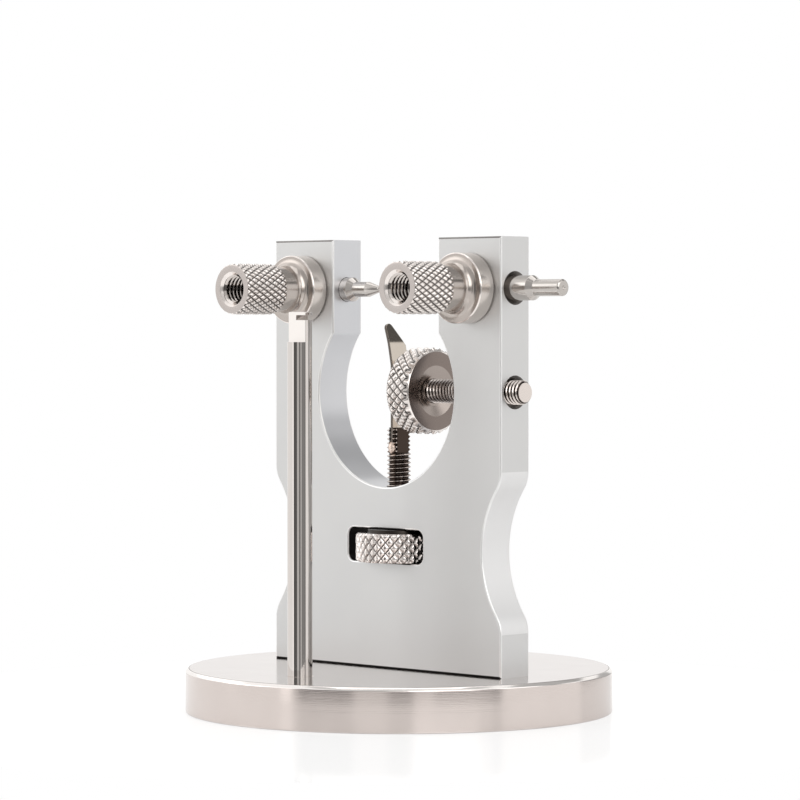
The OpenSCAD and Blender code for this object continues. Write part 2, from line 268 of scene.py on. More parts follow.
def knurl(bm, radius, depth, around, pitch, low, high, crown):
    """Presses crossed grooves into the skin between two heights."""
    layer = bm.verts.layers.float.new(GROOVE)
    for vert in bm.verts:
        height = vert.co.z
        reach = vert.co.xy.length
        if not low <= height <= high or reach < radius - depth - SKIN_SLACK:
            continue
        turns = math.atan2(vert.co.y, vert.co.x) / math.tau * around
        steps = (height - low) / pitch
        ridge = min(from_line(turns + steps), from_line(turns - steps))
        fall = 1 - min(1, ridge * crown)
        vert[layer] = fall
        limit = radius - depth * fall
        if reach > limit:
            vert.co.xy *= limit / reach


def divided(radius, low, high, rows):
    """A straight stretch of outline with extra points, for a knurl to move."""
    return [(radius, low + (high - low) * i / rows) for i in range(rows + 1)]


# %% [markdown]
# A thread is a helix, not a row of rings, and that shows at its ends and in its
# slant. One turn of its V is drawn as a short outline and spun with a lift of one
# pitch per turn. Each turn ends where the next begins, so merging the doubles
# closes the skin. Both ends are then cut square and filled.

# %% Thread
THREAD_STEPS = 40
THREAD_MERGE = 0.004
SPARE_TURNS = 3
# The flat root, the flat crest and one flank of a thread, as parts of its pitch
ROOT_FLAT = 1 / 4
CREST_FLAT = 1 / 8
FLANK = 5 / 16
# How much of a chamfer at a screw's end the root takes
ROOT_CHAMFER = 0.4


def threaded_rod(pitch, crest, root, low, high, chamfer, shift=0):
    """A right-handed screw along Z, with its crests taken off at both ends."""
    flank = pitch * FLANK
    section = [
        (root, 0), (root, pitch * ROOT_FLAT), (crest, pitch * ROOT_FLAT + flank),
        (crest, pitch * (ROOT_FLAT + CREST_FLAT) + flank), (root, pitch),
    ]
    start = low - SPARE_TURNS / 2 * pitch
    turns = math.ceil((high - low) / pitch) + SPARE_TURNS
    bm = bmesh.new()
    points = [bm.verts.new((radius, 0, start + z + shift)) for radius, z in section]
    edges = [bm.edges.new(pair) for pair in zip(points, points[1:])]
    bmesh.ops.spin(
        bm, geom=points + edges, cent=(0, 0, 0), axis=(0, 0, 1),
        dvec=(0, 0, pitch / THREAD_STEPS), angle=math.tau * turns,
        steps=THREAD_STEPS * turns,
    )
    bmesh.ops.remove_doubles(bm, verts=bm.verts, dist=THREAD_MERGE)
    for height, side in ((low, -1), (high, 1)):
        geometry = bm.verts[:] + bm.edges[:] + bm.faces[:]
        bmesh.ops.bisect_plane(
            bm, geom=geometry, dist=MERGE, plane_co=(0, 0, height),
            plane_no=(0, 0, side), clear_outer=True,
        )
    for vert in bm.verts:
        inside = min(vert.co.z - low, high - vert.co.z)
        limit = max(crest - chamfer, root - chamfer * ROOT_CHAMFER) + max(inside, 0)
        if vert.co.xy.length > limit:
            vert.co.xy *= limit / vert.co.xy.length
    rims = [edge for edge in bm.edges if edge.is_boundary]
    bmesh.ops.edgeloop_fill(bm, edges=rims)
    bmesh.ops.recalc_face_normals(bm, faces=bm.faces)
    return bm


# %% [markdown]
# ## Finishing a piece
#
# A piece is scaled from millimetres to metres, shaded smooth except at its real
# edges, given its materials, and tied to the body it rides on, and the CAD node that
# it stands for is hidden. Its object stays at the origin, and its place is in its
# mesh. Normals are weighted by face area, so that a large face stays flat up to the
# small round beside it.

# %% Finish a piece
SHARP = math.radians(38)
CLAIMED = []


def make_piece(name, bm, body, node_name, slot, *materials, sharp=SHARP):
    """Turns a bmesh into a shown piece that stands for one CAD node."""
    for edge in bm.edges:
        folded = len(edge.link_faces) == 2 and edge.calc_face_angle(0) > sharp
        edge.smooth = not folded
    for face in bm.faces:
        face.smooth = True
    bmesh.ops.scale(bm, vec=(MM, MM, MM), verts=bm.verts)
    piece = mesh_object(name, bm)
    for material in materials:
        piece.data.materials.append(material)
    weighted = piece.modifiers.new("weighted normals", "WEIGHTED_NORMAL")
    weighted.mode = "FACE_AREA"
    weighted.keep_sharp = True
    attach(piece, body)
    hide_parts(node_name)
    CLAIMED.append(name)
    low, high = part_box(node_name)
    size = [round((b - a) / MM, 2) for a, b in zip(low, high)]
    print(name, "has", len(piece.data.polygons), "faces; its node is", size, "mm")
    return piece


# %% [markdown]
# ## Colours and shader nodes
#
# Colours are written as sRGB hex, as a picture shows them, and one function turns
# them to the linear values that shaders take. One function adds a shader node with
# its values and links.

# %% Colour and node helpers
def linear(colour):
    """An sRGB hex colour as linear RGBA."""
    channels = [int(colour[i:i + 2], 16) / 255 for i in (0, 2, 4)]
    return [
        c / 12.92 if c <= 0.04045 else ((c + 0.055) / 1.055) ** 2.4 for c in channels
    ] + [1]


def add_node(tree, kind, values=None, links=None, **settings):
    """Adds a node, sets its properties and input values, and links its inputs."""
    made = tree.nodes.new(kind)
    for name, value in settings.items():
        setattr(made, name, value)
    for key, value in (values or {}).items():
        made.inputs[key].default_value = value
    for key, source in (links or {}).items():
        tree.links.new(source, made.inputs[key])
    return made


# %% [markdown]
# ## Steel from the lathe
#
# Turned stainless steel keeps the fine groove of the cutting tool. On a cylinder
# the lines run round it, and on a faced end they are rings, so both are lines of
# equal radius plus height about the piece's axis. They tilt the surface a little
# across their length only, which is why a turned part smears its reflections along
# its axis and keeps them sharp round it. A slow mottling stands for handling.

# %% Turned steel
MOTTLE_SIZE = 6
# Where a knurl's painted groove shade begins and is full, from 0 on its crests to 1 in its grooves
PAINT_FROM = 0.4
PAINT_FULL = 0.95


def bare_metal(name, colour, roughness):
    """A material of plain metal, with its tree and its shader."""
    material = bpy.data.materials.new(name)
    material.use_nodes = True
    tree = material.node_tree
    shader = tree.nodes["Principled BSDF"]
    shader.inputs["Base Color"].default_value = linear(colour)
    shader.inputs["Metallic"].default_value = 1
    shader.inputs["Roughness"].default_value = roughness
    return material, tree, shader


def centred(tree, centre, turn):
    """Object coordinates about a piece's own axis, which becomes Z."""
    place_on = add_node(tree, "ShaderNodeTexCoord").outputs["Object"]
    return add_node(
        tree, "ShaderNodeMapping",
        {"Location": [c * MM for c in centre], "Rotation": turn.to_euler()},
        {"Vector": place_on}, vector_type="TEXTURE",
    ).outputs["Vector"]


def from_axis(tree, local):
    """Distance from the Z axis, and height along it."""
    split = add_node(tree, "ShaderNodeSeparateXYZ", links={0: local}).outputs
    flat = add_node(tree, "ShaderNodeCombineXYZ", links={0: split[0], 1: split[1]})
    reach = add_node(
        tree, "ShaderNodeVectorMath", links={0: flat.outputs[0]}, operation="LENGTH",
    )
    return reach.outputs["Value"], split[2]


def tool_marks(tree, local, feed):
    """Noise along radius plus height, one wave for each turn of the tool."""
    reach, height = from_axis(tree, local)
    along = add_node(
        tree, "ShaderNodeMath", links={0: reach, 1: height}, operation="ADD",
    ).outputs[0]
    return add_node(
        tree, "ShaderNodeTexNoise",
        {"Scale": 1 / (feed * MM), "Detail": 3, "Roughness": 0.6},
        {"W": along}, noise_dimensions="1D",
    ).outputs["Fac"]


def mottle(tree, shader, local, size, colours, roughness):
    """Slow patches of slightly different colour and gloss, size in mm."""
    patches = add_node(
        tree, "ShaderNodeTexNoise", {"Scale": 1 / (size * MM), "Detail": 4},
        {"Vector": local},
    ).outputs["Fac"]
    shade = add_node(
        tree, "ShaderNodeMix", {6: linear(colours[0]), 7: linear(colours[1])},
        {0: patches}, data_type="RGBA",
    ).outputs[2]
    gloss = add_node(
        tree, "ShaderNodeMapRange", {"To Min": roughness[0], "To Max": roughness[1]},
        {"Value": patches},
    ).outputs["Result"]
    tree.links.new(shade, shader.inputs["Base Color"])
    tree.links.new(gloss, shader.inputs["Roughness"])
    return shade


def turned_steel(name, centre, turn, colours, roughness, feed, depth, grooves=None):
    """Steel with tool marks about its own axis, and painted shade in its knurl grooves if a groove
    colour is given.
    """
    material, tree, shader = bare_metal(name, colours[0], roughness[0])
    local = centred(tree, centre, turn)
    shade = mottle(tree, shader, local, MOTTLE_SIZE, colours, roughness)
    bump = add_node(
        tree, "ShaderNodeBump", {"Strength": 1, "Distance": depth * MM},
        {"Height": tool_marks(tree, local, feed)},
    )
    tree.links.new(bump.outputs["Normal"], shader.inputs["Normal"])
    # Painted shade: the deeper a point of the knurl, the more it takes the dark groove colour
    if grooves:
        pressed = add_node(
            tree, "ShaderNodeAttribute", attribute_name=GROOVE,
        ).outputs["Fac"]
        groove_shade = add_node(
            tree, "ShaderNodeMapRange", {"From Min": PAINT_FROM, "From Max": PAINT_FULL},
            {"Value": pressed}, interpolation_type="SMOOTHSTEP",
        ).outputs["Result"]
        dark = add_node(
            tree, "ShaderNodeMix", {7: linear(grooves)}, {0: groove_shade, 6: shade},
            data_type="RGBA",
        ).outputs[2]
        tree.links.new(dark, shader.inputs["Base Color"])
    return material


def steels(centre, turn, finishes, ending=""):
    """Turned steels about one axis, one for each row of a table of finishes."""
    return [turned_steel(name + ending, centre, turn, *row) for name, *row in finishes]


# %% [markdown]
# ## The base
#
# The base is a heavy disc, faced and turned from stainless steel. It could be a
# scaled cylinder, but its chamfer is what draws the bright line round it, so it is
# spun from its section. The socket for the truing key and the counterbores of the
# two screws under the plate are cut through the skin.

# %% Base
BASE_R = 35
BASE_H = 7.2
BASE_CHAMFER = 0.5
BASE_FOOT_CHAMFER = 0.15
BASE_BREAK = 0.12
BASE_STEPS = 360
KEY_Y = -22.5
KEY_R = 2
KEY_SINK = 0.2
SOCKET_DEPTH = 5
SCREW_X = 15
SCREW_HEAD_R = 3.5
SCREW_SHANK_R = 2.2
SEAT_Z = 4.3
CLEARANCE = 0.05
HEAD_CLEARANCE = 0.25


def base_disc():
    """The disc's skin, with its socket and screw holes."""
    section = soften([
        (0, 0), (BASE_R - BASE_FOOT_CHAMFER, 0), (BASE_R, BASE_FOOT_CHAMFER),
        (BASE_R, BASE_H - BASE_CHAMFER), (BASE_R - BASE_CHAMFER, BASE_H), (0, BASE_H),
    ], BASE_BREAK)
    disc = lathe(section, BASE_STEPS)
    socket = sink(KEY_R + CLEARANCE, KEY_R + KEY_SINK, -SOCKET_DEPTH, 0)
    holes = [place(socket, 0, KEY_Y, BASE_H, UPRIGHT)]
    for x in (-SCREW_X, SCREW_X):
        head = drill(SCREW_HEAD_R + HEAD_CLEARANCE, -1, SEAT_Z)
        shank = drill(SCREW_SHANK_R, 1, BASE_H + 1)
        holes += [place(head, x, 0, 0, UPRIGHT), place(shank, x, 0, 0, UPRIGHT)]
    return cut(disc, holes)


# %% [markdown]
# Four finishes meet on the base. Its side is polished and mirrors the tent in wide
# bands. The faced top mirrors the plate more softly. The chamfer between them is
# painted near white, a painted highlight, and the soft edge above it is darker. Which
# one a face has follows from how far its normal rises.

# %% Base finishes
# Name, two colours, range of roughness, feed and depth of the tool marks
BASE_FINISHES = [
    ("turned_stainless_side", ("dcd2cd", "d2c8c3"), (0.08, 0.12), 0.09, 0.003),
    ("faced_stainless_top", ("dad3d0", "d2cac7"), (0.1, 0.15), 0.25, 0.001),
    # The soft edge above the chamfer is darker than the rest of the base
    ("burnished_stainless_rim", ("8a807b", "7d736e"), (0.2, 0.26), 0.25, 0.0015),
    # The chamfer's near-white colour is a painted highlight that draws the bright line
    ("polished_stainless_chamfer", ("faf6f3", "f4efec"), (0.1, 0.14), 0.25, 0.0015),
]
BASE_SIDE, BASE_TOP, BASE_RIM, BASE_BEVEL = range(len(BASE_FINISHES))
# The most that a normal rises on the side, on the chamfer and on the edge above it
SIDE_RISE = 0.3
BEVEL_RISE = 0.85
RIM_RISE = 0.995


def base_finish_at(face):
    """Which of the base's finishes a face has."""
    rise = face.normal.z
    if face.calc_center_median().xy.length > BASE_R - 2 * BASE_CHAMFER:
        if SIDE_RISE < rise <= BEVEL_RISE:
            return BASE_BEVEL
        if BEVEL_RISE < rise < RIM_RISE:
            return BASE_RIM
    return BASE_TOP if abs(rise) > SIDE_RISE else BASE_SIDE


disc = base_disc()
for face in disc.faces:
    face.material_index = base_finish_at(face)
make_piece(
    "base_disc_turned", disc, "stand", "base_disc", "base_steel",
    *steels((0, 0, 0), UPRIGHT, BASE_FINISHES),
)

# %% [markdown]
# ## The frame plate
#
# The plate is milled from aluminium bar, bead-blasted and clear-anodised, so it is
# an even light grey with soft, broad reflections. Its outline is all straight lines
# and arcs: a round throat open at the top, and a waist in each side whose hollow
# runs into the side through a tangent blend. The outline and the window are filled
# as one flat face, extruded, and its rims are inset three times to round them over,
# which, with a painted highlight on the rims, gives the thin bright line that follows
# every edge of the real plate.

# %% Frame plate
PLATE_LOW, PLATE_HIGH = [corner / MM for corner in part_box("frame_plate")]
PLATE_X = PLATE_HIGH.x
PLATE_Y = PLATE_HIGH.y
GAP_X = 12.1
THROAT_R = 15.5
THROAT_Z = 52.3
WAIST_Z = 27
WAIST_DEPTH = 4.2
WAIST_R = 17
BLEND_R = 5
WINDOW_X = 8.6
WINDOW_LOW = 24.5
WINDOW_HIGH = 30
WINDOW_CORNER_R = 1.3
EDGE_ROUND = 0.28
BLEND_STEPS = 8
WAIST_STEPS = 28
THROAT_STEPS = 120


def waist_points():
    """The right side's waist from below to above: blend, hollow, blend."""
    span = WAIST_R + BLEND_R
    half = math.sqrt(span ** 2 - (span - WAIST_DEPTH) ** 2)
    hollow_x = PLATE_X - WAIST_DEPTH + WAIST_R
    blend_x = PLATE_X - BLEND_R
    lean = math.degrees(math.atan2(half, hollow_x - blend_x))
    below = arc((blend_x, WAIST_Z - half), BLEND_R, 0, lean, BLEND_STEPS)
    hollow = arc((hollow_x, WAIST_Z), WAIST_R, 180 + lean, 180 - lean, WAIST_STEPS)
    above = arc((blend_x, WAIST_Z + half), BLEND_R, -lean, 0, BLEND_STEPS)
    return below + hollow[1:-1] + above


def plate_outline():
    """The plate's outline as (x, z), anticlockwise from its lower left corner."""
    waist = waist_points()
    meet = math.degrees(math.acos(GAP_X / THROAT_R))
    throat = arc((0, THROAT_Z), THROAT_R, meet, -180 - meet, THROAT_STEPS)
    left = [(-x, z) for x, z in reversed(waist)]
    return [
        (-PLATE_X, PLATE_LOW.z), (PLATE_X, PLATE_LOW.z), *waist,
        (PLATE_X, PLATE_HIGH.z), (GAP_X, PLATE_HIGH.z), *throat,
        (-GAP_X, PLATE_HIGH.z), (-PLATE_X, PLATE_HIGH.z), *left,
    ]


def window_outline():
    """The window's outline, with round corners."""
    inner_x = WINDOW_X - WINDOW_CORNER_R
    low = WINDOW_LOW + WINDOW_CORNER_R
    high = WINDOW_HIGH - WINDOW_CORNER_R
    corners = [(inner_x, low, -90), (inner_x, high, 0), (-inner_x, high, 90), (-inner_x, low, 180)]
    points = []
    for x, z, start in corners:
        points += arc((x, z), WINDOW_CORNER_R, start, start + 90, BLEND_STEPS)
    return points


def loop(bm, outline, depth):
    """A closed loop of edges in the plate's plane."""
    points = [bm.verts.new((x, depth, z)) for x, z in outline]
    return [bm.edges.new(pair) for pair in zip(points, points[1:] + points[:1])]


def round_rim(bm, cap):
    """Raises a cap by three insets that follow a quarter round."""
    before = (0, 0)
    for step in (30, 60, 90):
        angle = math.radians(step)
        now = (EDGE_ROUND * (1 - math.cos(angle)), EDGE_ROUND * math.sin(angle))
        bmesh.ops.inset_region(
            bm, faces=cap, thickness=now[0] - before[0], depth=now[1] - before[1],
            use_boundary=True, use_even_offset=True,
        )
        before = now


def frame_plate():
    """The plate's skin with rounded rims, before its bores."""
    bm = bmesh.new()
    core = PLATE_Y - EDGE_ROUND
    rims = loop(bm, plate_outline(), -core) + loop(bm, window_outline(), -core)
    bmesh.ops.triangle_fill(bm, edges=rims, use_beauty=True)
    front = bm.faces[:]
    if front[0].normal.y > 0:
        bmesh.ops.reverse_faces(bm, faces=front)
    made = bmesh.ops.extrude_face_region(bm, geom=front, use_keep_orig=True)["geom"]
    back = [item for item in made if isinstance(item, bmesh.types.BMFace)]
    moved = [item for item in made if isinstance(item, bmesh.types.BMVert)]
    bmesh.ops.translate(bm, vec=(0, 2 * core, 0), verts=moved)
    bmesh.ops.recalc_face_normals(bm, faces=bm.faces)
    round_rim(bm, front)
    round_rim(bm, back)
    return bm


AXIS_Z = 69.2
ARM_X = (PLATE_X + GAP_X) / 2
SIDE_Z = 52.6
RUNNER_R = 2
BOLT_R = 3.5
SINK_R = 2.7
STEM_R = 1.97
STEM_BORE_LOW = 16.1
GUIDE_R = 0.51
GUIDE_Z = 33.2
TAP_R = 1.995
TAP_LOW = 6
TAP_HIGH = 17


def plate_bores():
    """Cutters for every bore of the plate."""
    stem_bore = STEM_R + CLEARANCE
    runner_bore = RUNNER_R + CLEARANCE
    flare = SINK_R - runner_bore
    bores = [
        place(drill(stem_bore, STEM_BORE_LOW, THROAT_Z), 0, 0, 0, UPRIGHT),
        place(drill(GUIDE_R, -PLATE_Y - 1, 0), 0, 0, GUIDE_Z, TO_FRONT),
        place(sink(stem_bore, SINK_R, GAP_X - 2, PLATE_X), 0, 0, SIDE_Z, TO_RIGHT),
    ]
    for side, turn in ((-1, TO_LEFT), (1, TO_RIGHT)):
        through = lathe([
            (0, GAP_X - 1), (runner_bore, GAP_X - 1), (runner_bore, PLATE_X - flare),
            (SINK_R + 1, PLATE_X + 1), (0, PLATE_X + 1),
        ], DRILL_STEPS)
        bolt = drill(BOLT_R + CLEARANCE, -PLATE_Y - 1, PLATE_Y + 1)
        tapped = drill(TAP_R, TAP_LOW, TAP_HIGH)
        bores += [
            place(through, 0, 0, AXIS_Z, turn),
            place(bolt, side * ARM_X, 0, AXIS_Z, TO_FRONT),
            place(tapped, side * SCREW_X, 0, 0, UPRIGHT),
        ]
    return bores


# %% [markdown]
# The blasted skin is a fine, even grain. Real bead-blasting pits are a few
# hundredths of a millimetre across, too fine for this render, so the grain is drawn
# at a tenth of a millimetre and kept faint. Slow patches keep the grey alive. The
# same function later gives the blade its scratches, drawn out along Z, and the
# solder its lumps.

# %% Grained metal
def grained_metal(name, colours, roughness, patch, grain, depth, drawn=1):
    """Metal with slow patches and a fine grain, sizes in mm; drawn below 1 is longer."""
    material, tree, shader = bare_metal(name, colours[0], roughness[0])
    local = add_node(tree, "ShaderNodeTexCoord").outputs["Object"]
    mottle(tree, shader, local, patch, colours, roughness)
    stretched = add_node(
        tree, "ShaderNodeMapping", {"Scale": (1, 1, drawn)}, {"Vector": local},
    ).outputs["Vector"]
    height = add_node(
        tree, "ShaderNodeTexNoise", {"Scale": 1 / (grain * MM), "Detail": 2},
        {"Vector": stretched},
    ).outputs["Fac"]
    bump = add_node(
        tree, "ShaderNodeBump", {"Strength": 1, "Distance": depth * MM},
        {"Height": height},
    )
    tree.links.new(bump.outputs["Normal"], shader.inputs["Normal"])
    return material


# %% [markdown]
# The plate has six finishes. The blasted skin is an even grey that hardly mirrors.
# The rims are smoother and painted paler, a painted highlight that draws each edge as a
# bright line. The window's walls and the rim at the plate's foot lie in shade and are
# painted nearly black, a painted shade. The countersinks are painted darker grey, a
# painted shade, and so is the rim at its top, a painted dark reflection. The bored
# throat is cooler and mirrors a little, and the milled waists are soft and painted
# paler, a painted light.

# %% Plate finishes
# Name, two colours, range of roughness and depth of the grain
PLATE_FINISHES = [
    ("anodised_aluminium", ("d8d8d7", "d2d2d2"), (0.4, 0.46), 0.003),
    # Paler rims: a painted highlight for the bright edge line
    ("highlit_aluminium_rim", ("f2f2f1", "ececec"), (0.34, 0.4), 0.001),
    # Nearly black: painted shade on the window's walls and the foot rim
    ("shaded_milled_aluminium", ("3c3a39", "2e2c2b"), (0.5, 0.6), 0.003),
    # Darker grey: painted shade in the countersinks, a painted dark reflection on the top rim
    ("shaded_sink_and_top_aluminium", ("8e8b89", "7c7977"), (0.35, 0.45), 0.003),
    ("bored_aluminium", ("d4d5d7", "cbccd0"), (0.32, 0.38), 0.001),
    # Paler waists: painted light
    ("highlit_milled_aluminium_waist", ("ececec", "e5e5e5"), (0.55, 0.62), 0.003),
]
PLATE_SKIN, PLATE_RIM, PLATE_SHADE, PLATE_SINK, PLATE_THROAT, PLATE_WAIST = range(6)
PLATE_PATCH = 14
PLATE_GRAIN = 0.12
# How far a normal turns to the front on a wall, at most, and on a rim, at most
WALL_SLANT = 0.05
RIM_SLANT = 0.97
# The same for a countersink's normal and the plate's side, least and most
SINK_SLANTS = (0.3, 0.95)
SINK_REACH = 0.8
NEAR = 0.1
WAIST_HALF = 13.2


def plate_finish_at(face):
    """Which of the plate's finishes a face has."""
    centre = face.calc_center_median()
    across = abs(centre.x)
    slant = abs(face.normal.y)
    if abs(centre.y) > PLATE_Y - EDGE_ROUND and WALL_SLANT < slant < RIM_SLANT:
        if centre.z < PLATE_LOW.z + EDGE_ROUND:
            return PLATE_SHADE
        return PLATE_SINK if centre.z > PLATE_HIGH.z - EDGE_ROUND else PLATE_RIM
    wall = slant < WALL_SLANT
    in_window = WINDOW_LOW - NEAR < centre.z < WINDOW_HIGH + NEAR
    if wall and in_window and across < WINDOW_X + NEAR:
        return PLATE_SHADE
    for height in (AXIS_Z, SIDE_Z):
        reach = math.hypot(centre.y, centre.z - height)
        cone = SINK_SLANTS[0] < abs(face.normal.x) < SINK_SLANTS[1]
        if cone and reach < SINK_R and across > PLATE_X - SINK_REACH:
            return PLATE_SINK
    if wall and across < THROAT_R + NEAR and centre.z > WINDOW_HIGH + 1:
        return PLATE_THROAT
    in_waist = abs(centre.z - WAIST_Z) < WAIST_HALF
    if wall and in_waist and across > PLATE_X - WAIST_DEPTH - NEAR:
        return PLATE_WAIST
    return PLATE_SKIN


plate = cut(frame_plate(), plate_bores())
for face in plate.faces:
    face.material_index = plate_finish_at(face)
make_piece(
    "frame_plate_anodised", plate, "stand", "frame_plate", "plate_aluminium",
    *[
        grained_metal(name, colours, roughness, PLATE_PATCH, PLATE_GRAIN, depth)
        for name, colours, roughness, depth in PLATE_FINISHES
    ],
)

# %% [markdown]
# ## The runners
#
# The runners are hardened rods, ground all over. Each has a fine tapered tip with a
# drilled cup for a balance pivot on the inside, and a plain nose with a cup at its
# outer end, so that it can be turned end for end. They are spun from their section,
# with each shoulder broken a little. Grinding leaves finer lines than turning, so
# they look almost polished, and a little grey because the steel is hard.

# %% Runners
RUNNER_TIP_X = 4.5
RUNNER_BODY_X = 10.65
RUNNER_BODY_END = 29.9
RUNNER_END = 36.4
RUNNER_CONE = 0.9
RUNNER_BREAK = 0.07
RUNNER_STEPS = 96
CUP_R = 0.3
TIP_R = 0.42
TIP_SIDE_R = 0.55
TIP_BREAK = 0.15
TIP_TAPER = 2.4
NOSE_R = 1.25
OUTER_R = 1.35
OUTER_BREAK = 0.25
RUNNER_FINISH = [
    ("ground_hard_steel", ("c6c1bd", "bdb8b3"), (0.12, 0.18), 0.12, 0.0012),
]


def runner():
    """A runner along Z, its tip nearest the origin."""
    return lathe(soften([
        (0, RUNNER_TIP_X + 2 * CUP_R), (CUP_R, RUNNER_TIP_X), (TIP_R, RUNNER_TIP_X),
        (TIP_SIDE_R, RUNNER_TIP_X + TIP_BREAK), (NOSE_R, RUNNER_TIP_X + TIP_TAPER),
        (NOSE_R, RUNNER_BODY_X - RUNNER_CONE), (RUNNER_R, RUNNER_BODY_X),
        (RUNNER_R, RUNNER_BODY_END), (OUTER_R, RUNNER_BODY_END + RUNNER_CONE),
        (OUTER_R, RUNNER_END - OUTER_BREAK), (OUTER_R - OUTER_BREAK, RUNNER_END),
        (CUP_R, RUNNER_END), (0, RUNNER_END - 2 * CUP_R),
    ], RUNNER_BREAK), RUNNER_STEPS)


for side, turn in (("left", TO_LEFT), ("right", TO_RIGHT)):
    make_piece(
        f"{side}_runner_ground", place(runner(), 0, 0, AXIS_Z, turn), f"{side}_runner",
        f"{side}_runner", "runner_steel",
        *steels((0, 0, AXIS_Z), turn, RUNNER_FINISH, f"_{side}"),
    )

# %% [markdown]
# ## The clamp knobs
#
# Each knob is a long nut: a flange that bears on the plate, a neck that runs into
# it through a cove, and a knurled head, with an M5 thread right through. The thread
# shows in its mouth, so it is cut as a real helix with a threaded cutter. The head's
# skin is divided finely enough for its small, sharp diamonds. Extra points close to
# the flange's edges keep its side straight up to them.

# %% Clamp knobs
KNOB_Y = -3.35
KNOB_LEN = 16.35
KNOB_BREAK = 0.08
FLANGE_R = 5.65
FLANGE_T = 3.2
FLANGE_FOOT = 0.25
FLANGE_BREAK = 0.18
FLANGE_SOFT = 0.04
FOOT_LOOP = 0.15
EDGE_LOOP = 0.12
NECK_R = 3.725
NECK_LOOP = 0.1
COVE_R = 1.4
HEAD_R = 4.2
HEAD_START = 7.55
HEAD_FOOT = 0.25
HEAD_BREAK = 0.25
HEAD_DIAMONDS = 26
HEAD_PITCH = 1.78
HEAD_DEPTH = 0.26
HEAD_CROWN = 1.4
BORE_R = 2.1
MOUTH_R = 2.85
MOUTH_Z = KNOB_LEN - MOUTH_R + BORE_R
M5_R = 2.5
M5_PITCH = 0.8
M5_SHOWN = 9
M5_OVERLAP = 0.02


def clamp_knob():
    """A knob along Z, its flange's face at the origin."""
    rows = round((KNOB_LEN - HEAD_BREAK - HEAD_START - HEAD_FOOT) / HEAD_PITCH * KNURL_POINTS)
    flange = soften([
        (BORE_R, 0), (FLANGE_R - FLANGE_FOOT, 0), (FLANGE_R, FLANGE_FOOT),
        (FLANGE_R, FLANGE_FOOT + FOOT_LOOP), (FLANGE_R, FLANGE_T - FLANGE_BREAK - EDGE_LOOP),
        (FLANGE_R, FLANGE_T - FLANGE_BREAK), (FLANGE_R - FLANGE_BREAK, FLANGE_T),
    ], FLANGE_SOFT)
    cove = arc((NECK_R + COVE_R, FLANGE_T + COVE_R), COVE_R, 270, 180, 10)
    shoulder = [
        (NECK_R, FLANGE_T + COVE_R + NECK_LOOP), (NECK_R, HEAD_START - NECK_LOOP),
        (NECK_R, HEAD_START), (HEAD_R - HEAD_FOOT, HEAD_START),
    ]
    head = divided(HEAD_R, HEAD_START + HEAD_FOOT, KNOB_LEN - HEAD_BREAK, rows)
    end = soften([
        head[-1], (HEAD_R - HEAD_BREAK, KNOB_LEN), (MOUTH_R, KNOB_LEN), (BORE_R, MOUTH_Z),
    ], KNOB_BREAK)
    outline = [*flange, *cove, *shoulder, *head[:-1], *end]
    return lathe(outline, HEAD_DIAMONDS * KNURL_POINTS, closed=True)


# %% [markdown]
# The knurl's skin is painted near white, a painted highlight on its crests, and its
# grooves are painted dark, a painted shade. The neck and the flange are turned and a
# little warmer, the end face is faced to a satin, and the thread in the bore is smooth
# and oiled, so that it shows as dark and light rings.

# %% Knob finishes
# Name, two colours, range of roughness, feed and depth of the tool marks, painted groove shade
KNOB_FINISHES = [
    # Near-white crests are a painted highlight, and 352e2b is the painted shade in the grooves
    ("turned_stainless_knob", ("f8f1ed", "f0e9e4"), (0.14, 0.19), 0.2, 0.003, "352e2b"),
    ("turned_stainless_neck", ("c3bbb5", "b7afa9"), (0.16, 0.22), 0.12, 0.001),
    ("faced_stainless_mouth", ("c6bfbb", "bfb7b3"), (0.22, 0.28), 0.15, 0.001),
    ("oiled_thread_steel", ("d9d2cd", "cbc4bf"), (0.06, 0.1), 0.2, 0.0005),
    ("turned_stainless_flange", ("dad3ce", "cfc8c2"), (0.22, 0.28), 0.12, 0.001),
]
KNOB_SKIN, KNOB_NECK, KNOB_FACE, KNOB_BORE, KNOB_FLANGE = range(len(KNOB_FINISHES))
BORE_REACH = 0.5
FACE_DEPTH = 0.02
FLANGE_REACH = 0.05


def knob_finish_at(face):
    """Which of the knob's finishes a face has."""
    centre = face.calc_center_median()
    reach = centre.xy.length
    if reach < BORE_R + BORE_REACH and centre.z < MOUTH_Z + NEAR:
        return KNOB_BORE
    if reach < HEAD_R - HEAD_BREAK and centre.z > KNOB_LEN - FACE_DEPTH:
        return KNOB_FACE
    if reach > FLANGE_R - FLANGE_REACH and abs(face.normal.z) < SIDE_RISE:
        return KNOB_FLANGE
    if reach > FLANGE_R - FLANGE_BREAK and centre.z > FLANGE_T / 2:
        return KNOB_SKIN
    return KNOB_NECK if centre.z < HEAD_START + NEAR else KNOB_SKIN


def knurled_knob():
    """A knob with its thread cut and its head knurled."""
    screw = threaded_rod(
        M5_PITCH, M5_R, BORE_R - M5_OVERLAP, KNOB_LEN - M5_SHOWN, KNOB_LEN + 1, 0,
    )
    knob = cut(clamp_knob(), [screw])
    knurl(
        knob, HEAD_R, HEAD_DEPTH, HEAD_DIAMONDS, HEAD_PITCH,
        HEAD_START - NEAR, KNOB_LEN + NEAR, HEAD_CROWN,
    )
    for face in knob.faces:
        face.material_index = knob_finish_at(face)
    return knob


for side, sign in (("left", -1), ("right", 1)):
    centre = (sign * ARM_X, KNOB_Y, AXIS_Z)
    make_piece(
        f"{side}_clamp_knob_knurled", place(knurled_knob(), *centre, TO_FRONT),
        f"{side}_clamp_knob", f"{side}_clamp_knob", "knob_steel",
        *steels(centre, TO_FRONT, KNOB_FINISHES, f"_{side}"),
    )

